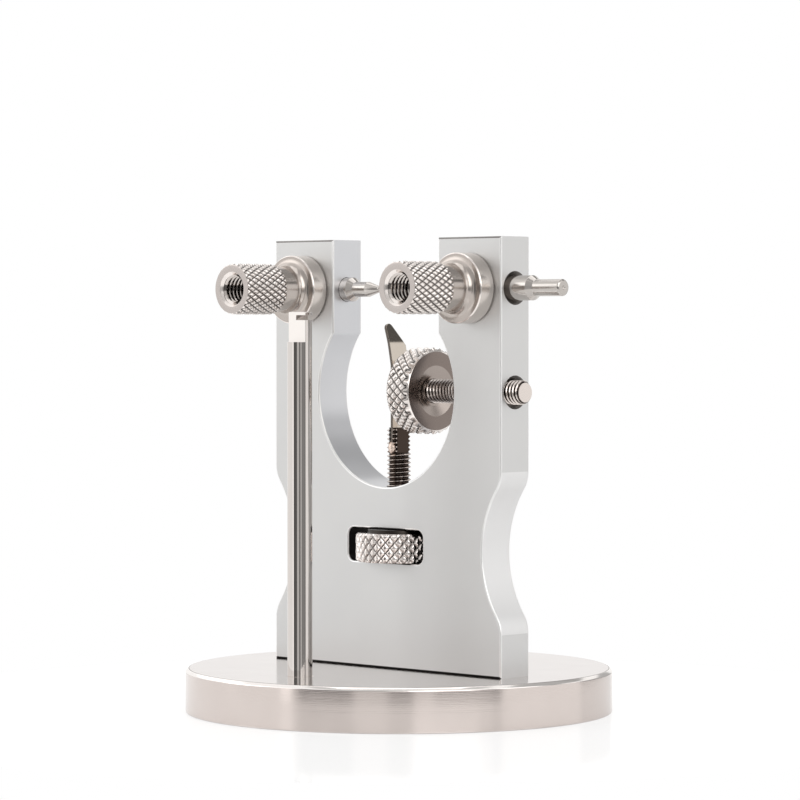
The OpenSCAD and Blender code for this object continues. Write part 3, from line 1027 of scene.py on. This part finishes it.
# %% [markdown]
# ## The two knurled wheels
#
# Both wheels carry a coarser knurl than the knobs, with near-white crests, a painted
# highlight, and grooves painted dark, a painted shade. The height wheel is caught in
# the plate's window and is the nut of the index stem. No light shows above it, so a low
# hub is guessed round its bore and painted dark, a painted shade. The side wheel sits
# on the side screw. Its outer face is painted darker than its knurl, a painted shade,
# has a shallow cone turned in its middle that is painted less dark, and ends at a
# bright chamfer.

# %% Wheels
WHEEL_DIAMONDS = 28
WHEEL_PITCH = 1.75
WHEEL_DEPTH = 0.34
WHEEL_CHAMFER = 0.35
WHEEL_BORE_R = STEM_R + CLEARANCE
WHEEL_BREAK_BELOW = 0.08
WHEEL_BREAK_ABOVE = 0.06
# How deep the chamfer is where the grooves run out on it
RUN_OUT = WHEEL_DEPTH + 0.02


def wheel(radius, thickness, chamfer, face, crown):
    """A knurled wheel along Z. Its face is what its outer side has inside the chamfer."""
    rows = round((thickness - WHEEL_CHAMFER - chamfer) / WHEEL_PITCH * KNURL_POINTS)
    skin = divided(radius, WHEEL_CHAMFER, thickness - chamfer, rows)
    below = soften(
        [(WHEEL_BORE_R, 0), (radius - WHEEL_CHAMFER, 0), skin[0]], WHEEL_BREAK_BELOW,
    )
    above = soften([
        skin[-1], (radius - RUN_OUT, thickness - chamfer + RUN_OUT),
        (radius - chamfer + 0.01, thickness), *face,
    ], WHEEL_BREAK_ABOVE)
    outline = [*below, *skin[1:-1], *above]
    disc = lathe(outline, WHEEL_DIAMONDS * KNURL_POINTS, closed=True)
    knurl(
        disc, radius, WHEEL_DEPTH, WHEEL_DIAMONDS, WHEEL_PITCH,
        -NEAR, thickness + NEAR, crown,
    )
    return disc


# %% Height wheel
HEIGHT_WHEEL_R = 7.1
HEIGHT_WHEEL_T = 4.75
HEIGHT_WHEEL_Z = 24.55
HEIGHT_WHEEL_CHAMFER = 0.4
HEIGHT_WHEEL_CROWN = 2.3
HUB_R = 5.2
HUB_H = 0.55
HUB_TAPER = 0.1
# Painted bright crests over painted groove shade, and a hub painted dark as painted shade
HEIGHT_WHEEL_FINISHES = [
    ("turned_stainless_height_wheel", ("eee8e4", "e4ddd9"), (0.13, 0.18), 0.2, 0.003, "241f1c"),
    ("oiled_steel_hub", ("3c3835", "302c29"), (0.3, 0.36), 0.2, 0.003),
]

hub_top = HEIGHT_WHEEL_T + HUB_H
height_wheel = wheel(
    HEIGHT_WHEEL_R, HEIGHT_WHEEL_T, HEIGHT_WHEEL_CHAMFER,
    [(HUB_R, HEIGHT_WHEEL_T), (HUB_R - HUB_TAPER, hub_top), (WHEEL_BORE_R, hub_top)],
    HEIGHT_WHEEL_CROWN,
)
for face in height_wheel.faces:
    # Faces of the hub take its dark colour, a painted shade
    face.material_index = int(face.calc_center_median().xy.length < HUB_R + CLEARANCE)
make_piece(
    "height_wheel_knurled", place(height_wheel, 0, 0, HEIGHT_WHEEL_Z, UPRIGHT),
    "height_wheel", "height_wheel", "wheel_steel",
    *steels((0, 0, HEIGHT_WHEEL_Z), UPRIGHT, HEIGHT_WHEEL_FINISHES),
)

# %% Side wheel
SIDE_WHEEL_R = 7.05
SIDE_WHEEL_T = 4.7
SIDE_WHEEL_X = 3.8
SIDE_WHEEL_CHAMFER = 0.65
SIDE_WHEEL_CROWN = 1.9
CONE_R = 4.15
CONE_ROOT_R = STEM_R + 0.4
CONE_DEPTH = 0.5
# The same painted crests and grooves, a face painted dark as painted shade, and a cone painted
# paler
SIDE_WHEEL_FINISHES = [
    ("turned_stainless_side_wheel", ("f1ebe7", "e8e1dc"), (0.13, 0.18), 0.25, 0.003, "241f1c"),
    ("faced_steel_dark", ("8a7f79", "7d726d"), (0.2, 0.28), 0.2, 0.002),
    ("turned_steel_cone", ("aaa09a", "9d938d"), (0.18, 0.24), 0.2, 0.002),
]
WHEEL_SKIN, WHEEL_FACE, WHEEL_CONE = range(len(SIDE_WHEEL_FINISHES))


def side_wheel_finish_at(face):
    """Which of the side wheel's finishes a face has."""
    centre = face.calc_center_median()
    reach = centre.xy.length
    if centre.z <= SIDE_WHEEL_T - CONE_DEPTH - CLEARANCE:
        return WHEEL_SKIN
    if reach >= SIDE_WHEEL_R - SIDE_WHEEL_CHAMFER:
        return WHEEL_SKIN
    return WHEEL_CONE if reach < CONE_R else WHEEL_FACE


cone_z = SIDE_WHEEL_T - CONE_DEPTH
side_wheel = wheel(
    SIDE_WHEEL_R, SIDE_WHEEL_T, SIDE_WHEEL_CHAMFER,
    [(CONE_R, SIDE_WHEEL_T), (CONE_ROOT_R, cone_z), (WHEEL_BORE_R, cone_z)],
    SIDE_WHEEL_CROWN,
)
# The face takes painted shade, and the cone a lighter painted shade
for face in side_wheel.faces:
    face.material_index = side_wheel_finish_at(face)
side_centre = (SIDE_WHEEL_X, 0, SIDE_Z)
make_piece(
    "side_wheel_knurled", place(side_wheel, *side_centre, TO_RIGHT),
    "side_wheel", "side_wheel", "wheel_steel",
    *steels(side_centre, TO_RIGHT, SIDE_WHEEL_FINISHES),
)

# %% [markdown]
# ## The index stem and the side screw
#
# Both are M4 threads cut in bare steel. The stem's head is milled flat on one side
# and slotted for the blade, with a relief hole at the slot's root, and a keyway runs
# down its back. The side screw has a round nose that bears on the blade. Their roots
# are painted dark, a painted shade, and their crests bright, a painted highlight,
# which draws each turn as a line.

# %% Index stem
M4_PITCH = 0.7
M4_ROOT = 1.6
STEM_LOW = 20.0
STEM_TOP = 46.5
STEM_CHAMFER = 0.25
STEM_FLAT_X = 1.0
STEM_FLAT_Z = 42.4
RELIEF_Z = 43.0
RELIEF_R = 0.85
SLOT_X = 0.4
KEYWAY_X = 0.55
KEYWAY_DEPTH = 0.75
KEYWAY_TOP = 40.1
THREAD_SHIFT = 0.29


def index_stem():
    """The threaded stem with its flat, slot, relief hole and keyway."""
    rod = threaded_rod(
        M4_PITCH, STEM_R, M4_ROOT, STEM_LOW, STEM_TOP, STEM_CHAMFER, THREAD_SHIFT,
    )
    flat = box((STEM_FLAT_X, -PAST, STEM_FLAT_Z), (PAST, PAST, STEM_TOP + 1))
    slot = box((-SLOT_X, -PAST, RELIEF_Z), (SLOT_X, PAST, STEM_TOP + 1))
    relief = place(drill(RELIEF_R, -PAST, PAST), 0, 0, RELIEF_Z, TO_FRONT)
    keyway = box(
        (-KEYWAY_X, STEM_R - KEYWAY_DEPTH, STEM_LOW - 1), (KEYWAY_X, PAST, KEYWAY_TOP),
    )
    return cut(rod, [flat, slot, relief, keyway])


# %% Cut thread
SCRATCH_SIZE = 0.25
SCRATCH_DEPTH = 0.006
# Radii at which a thread's painted root shade ends and its painted crest highlight begins
ROOT_END = M4_ROOT + 0.12
CREST_START = STEM_R - 0.1


def cut_thread_steel(name, centre, turn, colours, roughness):
    """Bare steel with painted shade in its thread roots and a painted highlight on its crests."""
    material, tree, shader = bare_metal(name, colours[0], roughness)
    local = centred(tree, centre, turn)
    reach, _ = from_axis(tree, local)
    crest = add_node(
        tree, "ShaderNodeMapRange", {"From Min": ROOT_END * MM, "From Max": CREST_START * MM},
        {"Value": reach}, interpolation_type="SMOOTHSTEP",
    ).outputs["Result"]
    shade = add_node(
        tree, "ShaderNodeMix", {6: linear(colours[0]), 7: linear(colours[1])}, {0: crest},
        data_type="RGBA",
    ).outputs[2]
    tree.links.new(shade, shader.inputs["Base Color"])
    scratches = add_node(
        tree, "ShaderNodeTexNoise", {"Scale": 1 / (SCRATCH_SIZE * MM), "Detail": 3},
        {"Vector": local},
    ).outputs["Fac"]
    bump = add_node(
        tree, "ShaderNodeBump", {"Strength": 1, "Distance": SCRATCH_DEPTH * MM},
        {"Height": scratches},
    )
    tree.links.new(bump.outputs["Normal"], shader.inputs["Normal"])
    return material


make_piece(
    "index_stem_threaded", index_stem(), "index_stem", "index_stem", "thread_steel",
    # Dark root colour is painted shade, pale crest colour a painted highlight
    cut_thread_steel("cut_thread_stem", (0, 0, 0), UPRIGHT, ("433933", "d6cbc4"), 0.2),
)

# %% Side screw
NOSE_START = 0.55
NOSE_BALL_R = 1.3
NOSE_SUNK = 0.5
NOSE_STEPS = 48
SCREW_BODY_X = 2.75
SCREW_END_X = 28.2
SCREW_CHAMFER = 0.4


def side_screw():
    """The side screw: a thread with a round nose let into its inner end."""
    body = threaded_rod(
        M4_PITCH, STEM_R, M4_ROOT, SCREW_BODY_X, SCREW_END_X, SCREW_CHAMFER,
    )
    tip = arc((0, NOSE_START + NOSE_BALL_R), NOSE_BALL_R, 270, 360, 12)
    root = SCREW_BODY_X + NOSE_SUNK
    nose = lathe([*tip, (NOSE_BALL_R, root), (0, root)], NOSE_STEPS)
    joined = bpy.data.meshes.new("nose")
    nose.to_mesh(joined)
    nose.free()
    body.from_mesh(joined)
    bpy.data.meshes.remove(joined)
    return place(body, 0, 0, SIDE_Z, TO_RIGHT)


screw = side_screw()
for face in screw.faces:
    x = face.calc_center_median().x
    face.material_index = int(x > SCREW_END_X - 0.01 or x < SCREW_BODY_X)
make_piece(
    "side_screw_threaded", screw, "side_screw", "side_screw", "thread_steel",
    # Dark root colour is painted shade, pale crest colour a painted highlight
    cut_thread_steel(
        "cut_thread_side", (0, 0, SIDE_Z), TO_RIGHT, ("3a322e", "e4dbd5"), 0.16,
    ),
    turned_steel(
        "faced_screw_end", (0, 0, SIDE_Z), TO_RIGHT,
        ("e6ddd7", "dcd3cd"), (0.18, 0.24), 0.2, 0.003,
    ),
)

# %% [markdown]
# ## The blade and its solder
#
# The index is a strip of polished spring steel, half a millimetre thick. It stands
# in the stem's slot, leans away from the side wheel above its bend, curls a little
# more near its end, and tapers to a small round point at its front edge. It is drawn
# flat, given its thickness, its edges are broken with a bevel, and it is divided
# across the bend and rolled round it. Its face is a mirror with faint scratches
# along it, and its cut edges are dull. A plug of solder fills the relief hole at its
# root and stands a little proud.

# %% Index blade
BLADE_T = 0.5
BLADE_HALF = 1.875
BLADE_BACK = 0.15
BLADE_FOOT = 44.2
BLADE_STRAIGHT = 12.5
BLADE_TIP = 7
BLADE_TAPER = 3.3
BLADE_BEVEL = 0.09
POINT_R = 0.8
BLADE_STEP = 0.1
BLADE_CUTS = 38
BLADE_CUT_STEP = 0.2
# Distance from the foot and lean in degrees, where the lean changes
BLADE_BENDS = [(12.1, 0), (12.9, 10.5), (15.9, 11.5), (16.7, 16.5), (19.5, 17.5)]
# A face whose normal is turned less than this to the blade's side is a cut edge
BLADE_FACING = 0.8


def blade_outline():
    """The flat blade as (y, distance from its foot)."""
    point = Vector((POINT_R - BLADE_HALF, BLADE_STRAIGHT + BLADE_TIP - POINT_R))
    shoulder = Vector((BLADE_HALF, BLADE_STRAIGHT + BLADE_TAPER))
    reach = point - shoulder
    turn = math.degrees(math.atan2(reach.y, reach.x) - math.asin(POINT_R / reach.length))
    nose = arc(point, POINT_R, turn - 90, 180, 14)
    return [(-BLADE_HALF, 0), (BLADE_HALF, 0), tuple(shoulder), *nose]


def lean_at(height):
    """The blade's lean at a distance from its foot, in degrees."""
    for (low, before), (high, after) in zip(BLADE_BENDS, BLADE_BENDS[1:]):
        if height <= high:
            return before + (after - before) * max(0, height - low) / (high - low)
    return BLADE_BENDS[-1][1]


def bend(point):
    """Where a point of the flat blade goes when the strip is bent."""
    middle = Vector((0, 0, min(point.z, BLADE_BENDS[0][0])))
    walked = middle.z
    while walked < point.z - MERGE:
        step = min(BLADE_STEP, point.z - walked)
        lean = math.radians(lean_at(walked + step / 2))
        middle += step * Vector((-math.sin(lean), 0, math.cos(lean)))
        walked += step
    lean = math.radians(lean_at(point.z))
    return middle + Vector((point.x * math.cos(lean), point.y, point.x * math.sin(lean)))


def index_blade():
    """The blade's skin."""
    bm = bmesh.new()
    outline = [bm.verts.new((-BLADE_T / 2, y, z)) for y, z in blade_outline()]
    sheet = bm.faces.new(outline)
    made = bmesh.ops.extrude_face_region(bm, geom=[sheet], use_keep_orig=True)["geom"]
    moved = [item for item in made if isinstance(item, bmesh.types.BMVert)]
    bmesh.ops.translate(bm, vec=(BLADE_T, 0, 0), verts=moved)
    bmesh.ops.recalc_face_normals(bm, faces=bm.faces)
    rims = [edge for edge in bm.edges if edge.calc_face_angle(0) > math.radians(60)]
    bmesh.ops.bevel(
        bm, geom=rims, offset=BLADE_BEVEL, segments=2, profile=0.5, affect="EDGES",
        material=-1,
    )
    for i in range(BLADE_CUTS):
        height = BLADE_BENDS[0][0] + BLADE_CUT_STEP * i
        geometry = bm.verts[:] + bm.edges[:] + bm.faces[:]
        bmesh.ops.bisect_plane(
            bm, geom=geometry, dist=MERGE, plane_co=(0, 0, height), plane_no=(0, 0, 1),
        )
    for vert in bm.verts:
        vert.co = bend(vert.co)
    for face in bm.faces:
        face.material_index = int(abs(face.normal.x) < BLADE_FACING)
    return place(bm, 0, BLADE_BACK, BLADE_FOOT, UPRIGHT)


# Slow patches 3 mm wide, and scratches 0.15 mm wide and 16 times as long
BLADE_GRAIN = (3, 0.15, 0.002, 0.06)
make_piece(
    "index_blade_polished", index_blade(), "index_blade", "index_blade", "blade_steel",
    grained_metal(
        "polished_spring_steel", ("d2c9bd", "c9bfb4"), (0.06, 0.1), *BLADE_GRAIN,
    ),
    grained_metal(
        "cut_spring_steel_edge", ("77706a", "625b55"), (0.25, 0.35), *BLADE_GRAIN,
    ),
    sharp=math.radians(10),
)

# %% Solder
PLUG_R = 0.8
PLUG_PROUD = 0.5
PLUG_CENTRE = 0.62
PLUG_STEPS = 40
PLUG_WAVE = 0.12
PLUG_SIZE = Vector((0.95, 1.3, 1))
PLUG_SHIFT = Vector((-0.15, 0.2, 0))


def blade_solder():
    """A plug of solder along Y, domed at both ends and run out of round."""
    flat = STEM_R - 0.1
    dome = arc((0, flat - PLUG_CENTRE), PLUG_R, 0, 90, 8)
    dome = [(r, max(z, flat - PLUG_PROUD)) for r, z in dome]
    mirrored = [(r, -z) for r, z in reversed(dome)]
    plug = lathe([*mirrored, *dome], PLUG_STEPS)
    for vert in plug.verts:
        wave = PLUG_WAVE * math.sin(4 * vert.co.x + 3 * vert.co.z) * math.cos(3 * vert.co.y)
        vert.co.xy *= 1 + wave
        vert.co = vert.co * PLUG_SIZE + PLUG_SHIFT
    return place(plug, 0, 0, RELIEF_Z, TO_FRONT)


# Tin solder is pale, warm from its flux, softly shiny and slightly lumpy
make_piece(
    "blade_solder_plug", blade_solder(), "index_stem", "blade_solder", "solder",
    grained_metal("tin_solder", ("efe0d4", "dcc6b8"), (0.3, 0.45), 0.9, 0.6, 0.05),
)

# %% [markdown]
# ## The truing key
#
# The key is a ground rod that stands loose in its socket. Its head has a milled flat
# and a slot open to one side, which slips over an arm of the balance to bend it. The
# rod is spun, and the flat and slot are cut through it. The ground rod mirrors the
# tent as sharp upright strips, and the milled flat is soft and painted pale, a painted
# highlight.

# %% Truing key
KEY_FOOT = 2.25
KEY_FOOT_CHAMFER = 0.5
KEY_TOP = 65.4
KEY_TOP_CHAMFER = 0.1
KEY_BREAK = 0.06
KEY_STEPS = 128
KEY_FLAT_Y = 0.6
KEY_FLAT_H = 4.8
KEY_BAR = 0.5
KEY_SLOT_W = 0.8
KEY_SLOT_X = 0.2
KEY_FINISHES = [
    ("ground_key_steel", ("dfdad6", "d6d0cc"), (0.05, 0.08), 0.15, 0.0004),
    # The flat's pale colour is a painted highlight
    ("milled_key_flat", ("f9f4f0", "f3eeea"), (0.3, 0.36), 0.15, 0.001),
]


def truing_key():
    """The key's rod with its flat and slot."""
    rod = lathe(soften([
        (0, KEY_FOOT), (KEY_R - KEY_FOOT_CHAMFER, KEY_FOOT),
        (KEY_R, KEY_FOOT + KEY_FOOT_CHAMFER), (KEY_R, KEY_TOP - KEY_TOP_CHAMFER),
        (KEY_R - KEY_TOP_CHAMFER, KEY_TOP), (0, KEY_TOP),
    ], KEY_BREAK), KEY_STEPS)
    flat = box((-PAST, -PAST, KEY_TOP - KEY_FLAT_H), (PAST, -KEY_FLAT_Y, KEY_TOP + 1))
    slot_top = KEY_TOP - KEY_BAR
    slot = box((-KEY_SLOT_X, -PAST, slot_top - KEY_SLOT_W), (PAST, PAST, slot_top))
    key = cut(rod, [flat, slot])
    for face in key.faces:
        on_flat = abs(face.calc_center_median().y + KEY_FLAT_Y) < 0.01
        face.material_index = int(on_flat and face.normal.y < -0.99)
    return place(key, 0, KEY_Y, 0, UPRIGHT)


make_piece(
    "truing_key_ground", truing_key(), "truing_key", "truing_key", "key_steel",
    *steels((0, KEY_Y, 0), UPRIGHT, KEY_FINISHES),
)

# %% [markdown]
# ## Screws that stay as the CAD made them
#
# The frame screws, the draw bolts and the guide pin are hidden or nearly so, and
# their CAD shapes are right. They keep their meshes and get plain turned steel.

# %% Carried-over nodes
def dress(node_name, material):
    """Gives a CAD node its material, and leaves its shape alone."""
    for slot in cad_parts[node_name].material_slots:
        slot.material = material
    print(node_name, "keeps its CAD shape")


for side, sign in (("left", -1), ("right", 1)):
    dress(f"{side}_frame_screw", turned_steel(
        f"black_screw_steel_{side}", (sign * SCREW_X, 0, 0), UPRIGHT,
        ("58534f", "4a4642"), (0.3, 0.38), 0.2, 0.002,
    ))
    dress(f"{side}_clamp_bolt", turned_steel(
        f"turned_bolt_steel_{side}", (sign * ARM_X, 0, AXIS_Z), TO_FRONT,
        ("b5aca6", "a89f99"), (0.2, 0.28), 0.2, 0.003,
    ))
dress("stem_guide_pin", turned_steel(
    "drawn_pin_steel", (0, 0, GUIDE_Z), TO_FRONT,
    ("c2bab4", "b7afa9"), (0.2, 0.28), 0.2, 0.002,
))

# %% [markdown]
# ## The studio
#
# The caliper was photographed in a white tent. Polished metal has hardly a colour of
# its own and shows what stands round it, so the tent is drawn in the world: white all
# round, with darker gaps between its panels and a few brighter ones. Each patch has
# its place in degrees from the camera, to the right and up, a soft edge, and what it
# multiplies the tent's light by. The camera itself sees plain white.

# %% World
# Middle and half width to the right, middle and half height, then the factor
TENT_PATCHES = [
    (-120, 50, 30, 12, 1.3), (-62, 3.5, 0, 30, 1.5), (-54, 3.5, 14, 26, 0.4),
    (-39, 15, 0, 12, 0.12), (-28, 22, 35, 25, 0.6), (-15, 9, 0, 12, 0.6),
    (0, 181, 80, 16, 0.6), (1, 7, -2, 13, 0.2), (13, 5, -3, 9, 0.6),
    (24, 19, 30, 23, 2.4), (36.5, 18.5, -3, 9, 0.27), (53.5, 3, 14, 26, 0.4),
    (97, 8, 24, 5, 0.12), (116, 20, 44, 13, 0.45), (138, 24, 0, 20, 0.45),
    (152, 17, 40, 10, 0.4),
]
PATCH_EDGE = 3
TENT_COLOUR = (1, 0.99, 0.98, 1)


def patch_side(tree, value, middle, half):
    """1 within half of the middle, falling softly to 0 outside, in degrees."""
    away = add_node(
        tree, "ShaderNodeMath", {1: middle}, {0: value}, operation="SUBTRACT",
    ).outputs[0]
    away = add_node(tree, "ShaderNodeMath", links={0: away}, operation="ABSOLUTE").outputs[0]
    return add_node(
        tree, "ShaderNodeMapRange",
        {"From Min": half + PATCH_EDGE / 2, "From Max": half - PATCH_EDGE / 2},
        {"Value": away}, interpolation_type="SMOOTHSTEP",
    ).outputs["Result"]


def add_world():
    """A white tent with darker and brighter patches at fixed places."""
    world = bpy.data.worlds.new("tent")
    bpy.context.scene.world = world
    world.use_nodes = True
    tree = world.node_tree
    tree.nodes.clear()
    ray = add_node(tree, "ShaderNodeTexCoord").outputs["Generated"]
    facing = add_node(
        tree, "ShaderNodeMapping", {"Rotation": (0, 0, -CAMERA_AZIMUTH)}, {"Vector": ray},
    ).outputs["Vector"]
    split = add_node(tree, "ShaderNodeSeparateXYZ", links={0: facing})
    ahead = add_node(
        tree, "ShaderNodeMath", {1: -1}, {0: split.outputs[1]}, operation="MULTIPLY",
    ).outputs[0]
    angle = add_node(
        tree, "ShaderNodeMath", links={0: split.outputs[0], 1: ahead}, operation="ARCTAN2",
    ).outputs[0]
    sideways = add_node(tree, "ShaderNodeMath", links={0: angle}, operation="DEGREES").outputs[0]
    rise = add_node(
        tree, "ShaderNodeMath", links={0: split.outputs[2]}, operation="ARCSINE",
    ).outputs[0]
    upwards = add_node(tree, "ShaderNodeMath", links={0: rise}, operation="DEGREES").outputs[0]
    level = None
    for middle, half, height, reach, factor in TENT_PATCHES:
        inside = add_node(
            tree, "ShaderNodeMath",
            links={
                0: patch_side(tree, sideways, middle, half),
                1: patch_side(tree, upwards, height, reach),
            }, operation="MULTIPLY",
        ).outputs[0]
        change = add_node(
            tree, "ShaderNodeMath", {1: factor - 1, 2: 1}, {0: inside},
            operation="MULTIPLY_ADD",
        ).outputs[0]
        if level is None:
            level = change
            continue
        level = add_node(
            tree, "ShaderNodeMath", links={0: level, 1: change}, operation="MULTIPLY",
        ).outputs[0]
    tent = add_node(tree, "ShaderNodeBackground", {"Color": TENT_COLOUR}, {"Strength": level})
    white = add_node(
        tree, "ShaderNodeBackground", {"Color": (1, 1, 1, 1), "Strength": 1},
    )
    seen = add_node(tree, "ShaderNodeLightPath").outputs["Is Camera Ray"]
    both = add_node(
        tree, "ShaderNodeMixShader",
        links={0: seen, 1: tent.outputs[0], 2: white.outputs[0]},
    )
    add_node(tree, "ShaderNodeOutputWorld", links={"Surface": both.outputs[0]})


add_world()
print("world drawn with", len(TENT_PATCHES), "patches")

# %% [markdown]
# The floor is a round sheet of white card with a slight gloss. Lit by the lamps alone
# it would show its edge, so most of it glows for the camera and joins the white
# background, and the rest keeps the shadow under the base. The gloss gives the faint
# reflection below the base. In polished metal the card glows less and mirrors more.

# %% Floor
FLOOR_R = 0.095
FLOOR_DROP = 0.00002
CARD_WHITE = (0.9, 0.9, 0.9, 1)
CARD_GLOW = 1.15
CARD_ROUGHNESS = 0.08
# The share of the card that doesn't glow for the camera, which keeps the shadow
FLOOR_SHADOW = 0.35
# The share that glows in metal, the share that mirrors, and what metal adds to that
FLOOR_IN_METAL = 0.4
FLOOR_GLOSS = 0.15
FLOOR_MIRROR = 0.05


def add_floor():
    """White card under the base, seen white where nothing shades it, clear from below."""
    bm = bmesh.new()
    bmesh.ops.create_circle(bm, cap_ends=True, segments=96, radius=FLOOR_R)
    floor = mesh_object("floor", bm)
    material = bpy.data.materials.new("white_card")
    material.use_nodes = True
    tree = material.node_tree
    tree.nodes.clear()
    card = add_node(tree, "ShaderNodeBsdfDiffuse", {"Color": CARD_WHITE})
    glow = add_node(
        tree, "ShaderNodeEmission", {"Color": (1, 1, 1, 1), "Strength": CARD_GLOW},
    )
    gloss = add_node(
        tree, "ShaderNodeBsdfGlossy", {"Color": (1, 1, 1, 1), "Roughness": CARD_ROUGHNESS},
    )
    rays = add_node(tree, "ShaderNodeLightPath")
    seen = add_node(
        tree, "ShaderNodeMath", {1: 1 - FLOOR_SHADOW}, {0: rays.outputs["Is Camera Ray"]},
        operation="MULTIPLY",
    ).outputs[0]
    share = add_node(
        tree, "ShaderNodeMath", {1: FLOOR_IN_METAL},
        {0: rays.outputs["Is Glossy Ray"], 2: seen}, operation="MULTIPLY_ADD",
    ).outputs[0]
    lit = add_node(
        tree, "ShaderNodeMixShader",
        links={0: share, 1: card.outputs[0], 2: glow.outputs[0]},
    )
    mirrored = add_node(
        tree, "ShaderNodeMath", {1: FLOOR_MIRROR, 2: FLOOR_GLOSS},
        {0: rays.outputs["Is Glossy Ray"]}, operation="MULTIPLY_ADD",
    ).outputs[0]
    shiny = add_node(
        tree, "ShaderNodeMixShader",
        links={0: mirrored, 1: lit.outputs[0], 2: gloss.outputs[0]},
    )
    below = add_node(tree, "ShaderNodeNewGeometry").outputs["Backfacing"]
    clear = add_node(tree, "ShaderNodeBsdfTransparent")
    sided = add_node(
        tree, "ShaderNodeMixShader",
        links={0: below, 1: shiny.outputs[0], 2: clear.outputs[0]},
    )
    add_node(tree, "ShaderNodeOutputMaterial", links={"Surface": sided.outputs[0]})
    floor.data.materials.append(material)
    floor.location.z = -FLOOR_DROP


add_floor()

# %% [markdown]
# Three soft panels light the caliper, from above and from both sides. Their level is
# plain, so that a colour renders about as it is written.

# %% Lamps
# Name, place and width in metres, and level, where 1 is as bright as white card
SOFTBOXES = [
    ("overhead", (-0.1, 0.1, 0.7), 0.5, 0.9),
    ("left_panel", (-0.55, -0.45, 0.35), 0.35, 0.8),
    ("right_panel", (0.6, 0.25, 0.3), 0.3, 0.7),
]
LAMP_AIM = Vector((0, 0, 0.045))


def softbox(name, place_at, size, level):
    """A square panel that faces the caliper and that the camera doesn't see."""
    lamp = bpy.data.lights.new(name, "AREA")
    lamp.shape = "SQUARE"
    lamp.size = size
    lamp.energy = level * math.pi * size ** 2
    holder = bpy.data.objects.new(name, lamp)
    holder.location = place_at
    aim = LAMP_AIM - Vector(place_at)
    holder.rotation_euler = aim.to_track_quat("-Z", "Y").to_euler()
    holder.visible_camera = False
    bpy.context.collection.objects.link(holder)


for row in SOFTBOXES:
    softbox(*row)
print("lamps placed:", len(SOFTBOXES))

# %% [markdown]
# ## Last settings
#
# Colours are shown with the Standard view transform, and the number of pieces made
# is printed. The visual model has to stay inside the CAD model's box.

# %% View transform and count
bpy.context.scene.view_settings.view_transform = "Standard"
print("pieces made:", len(CLAIMED))
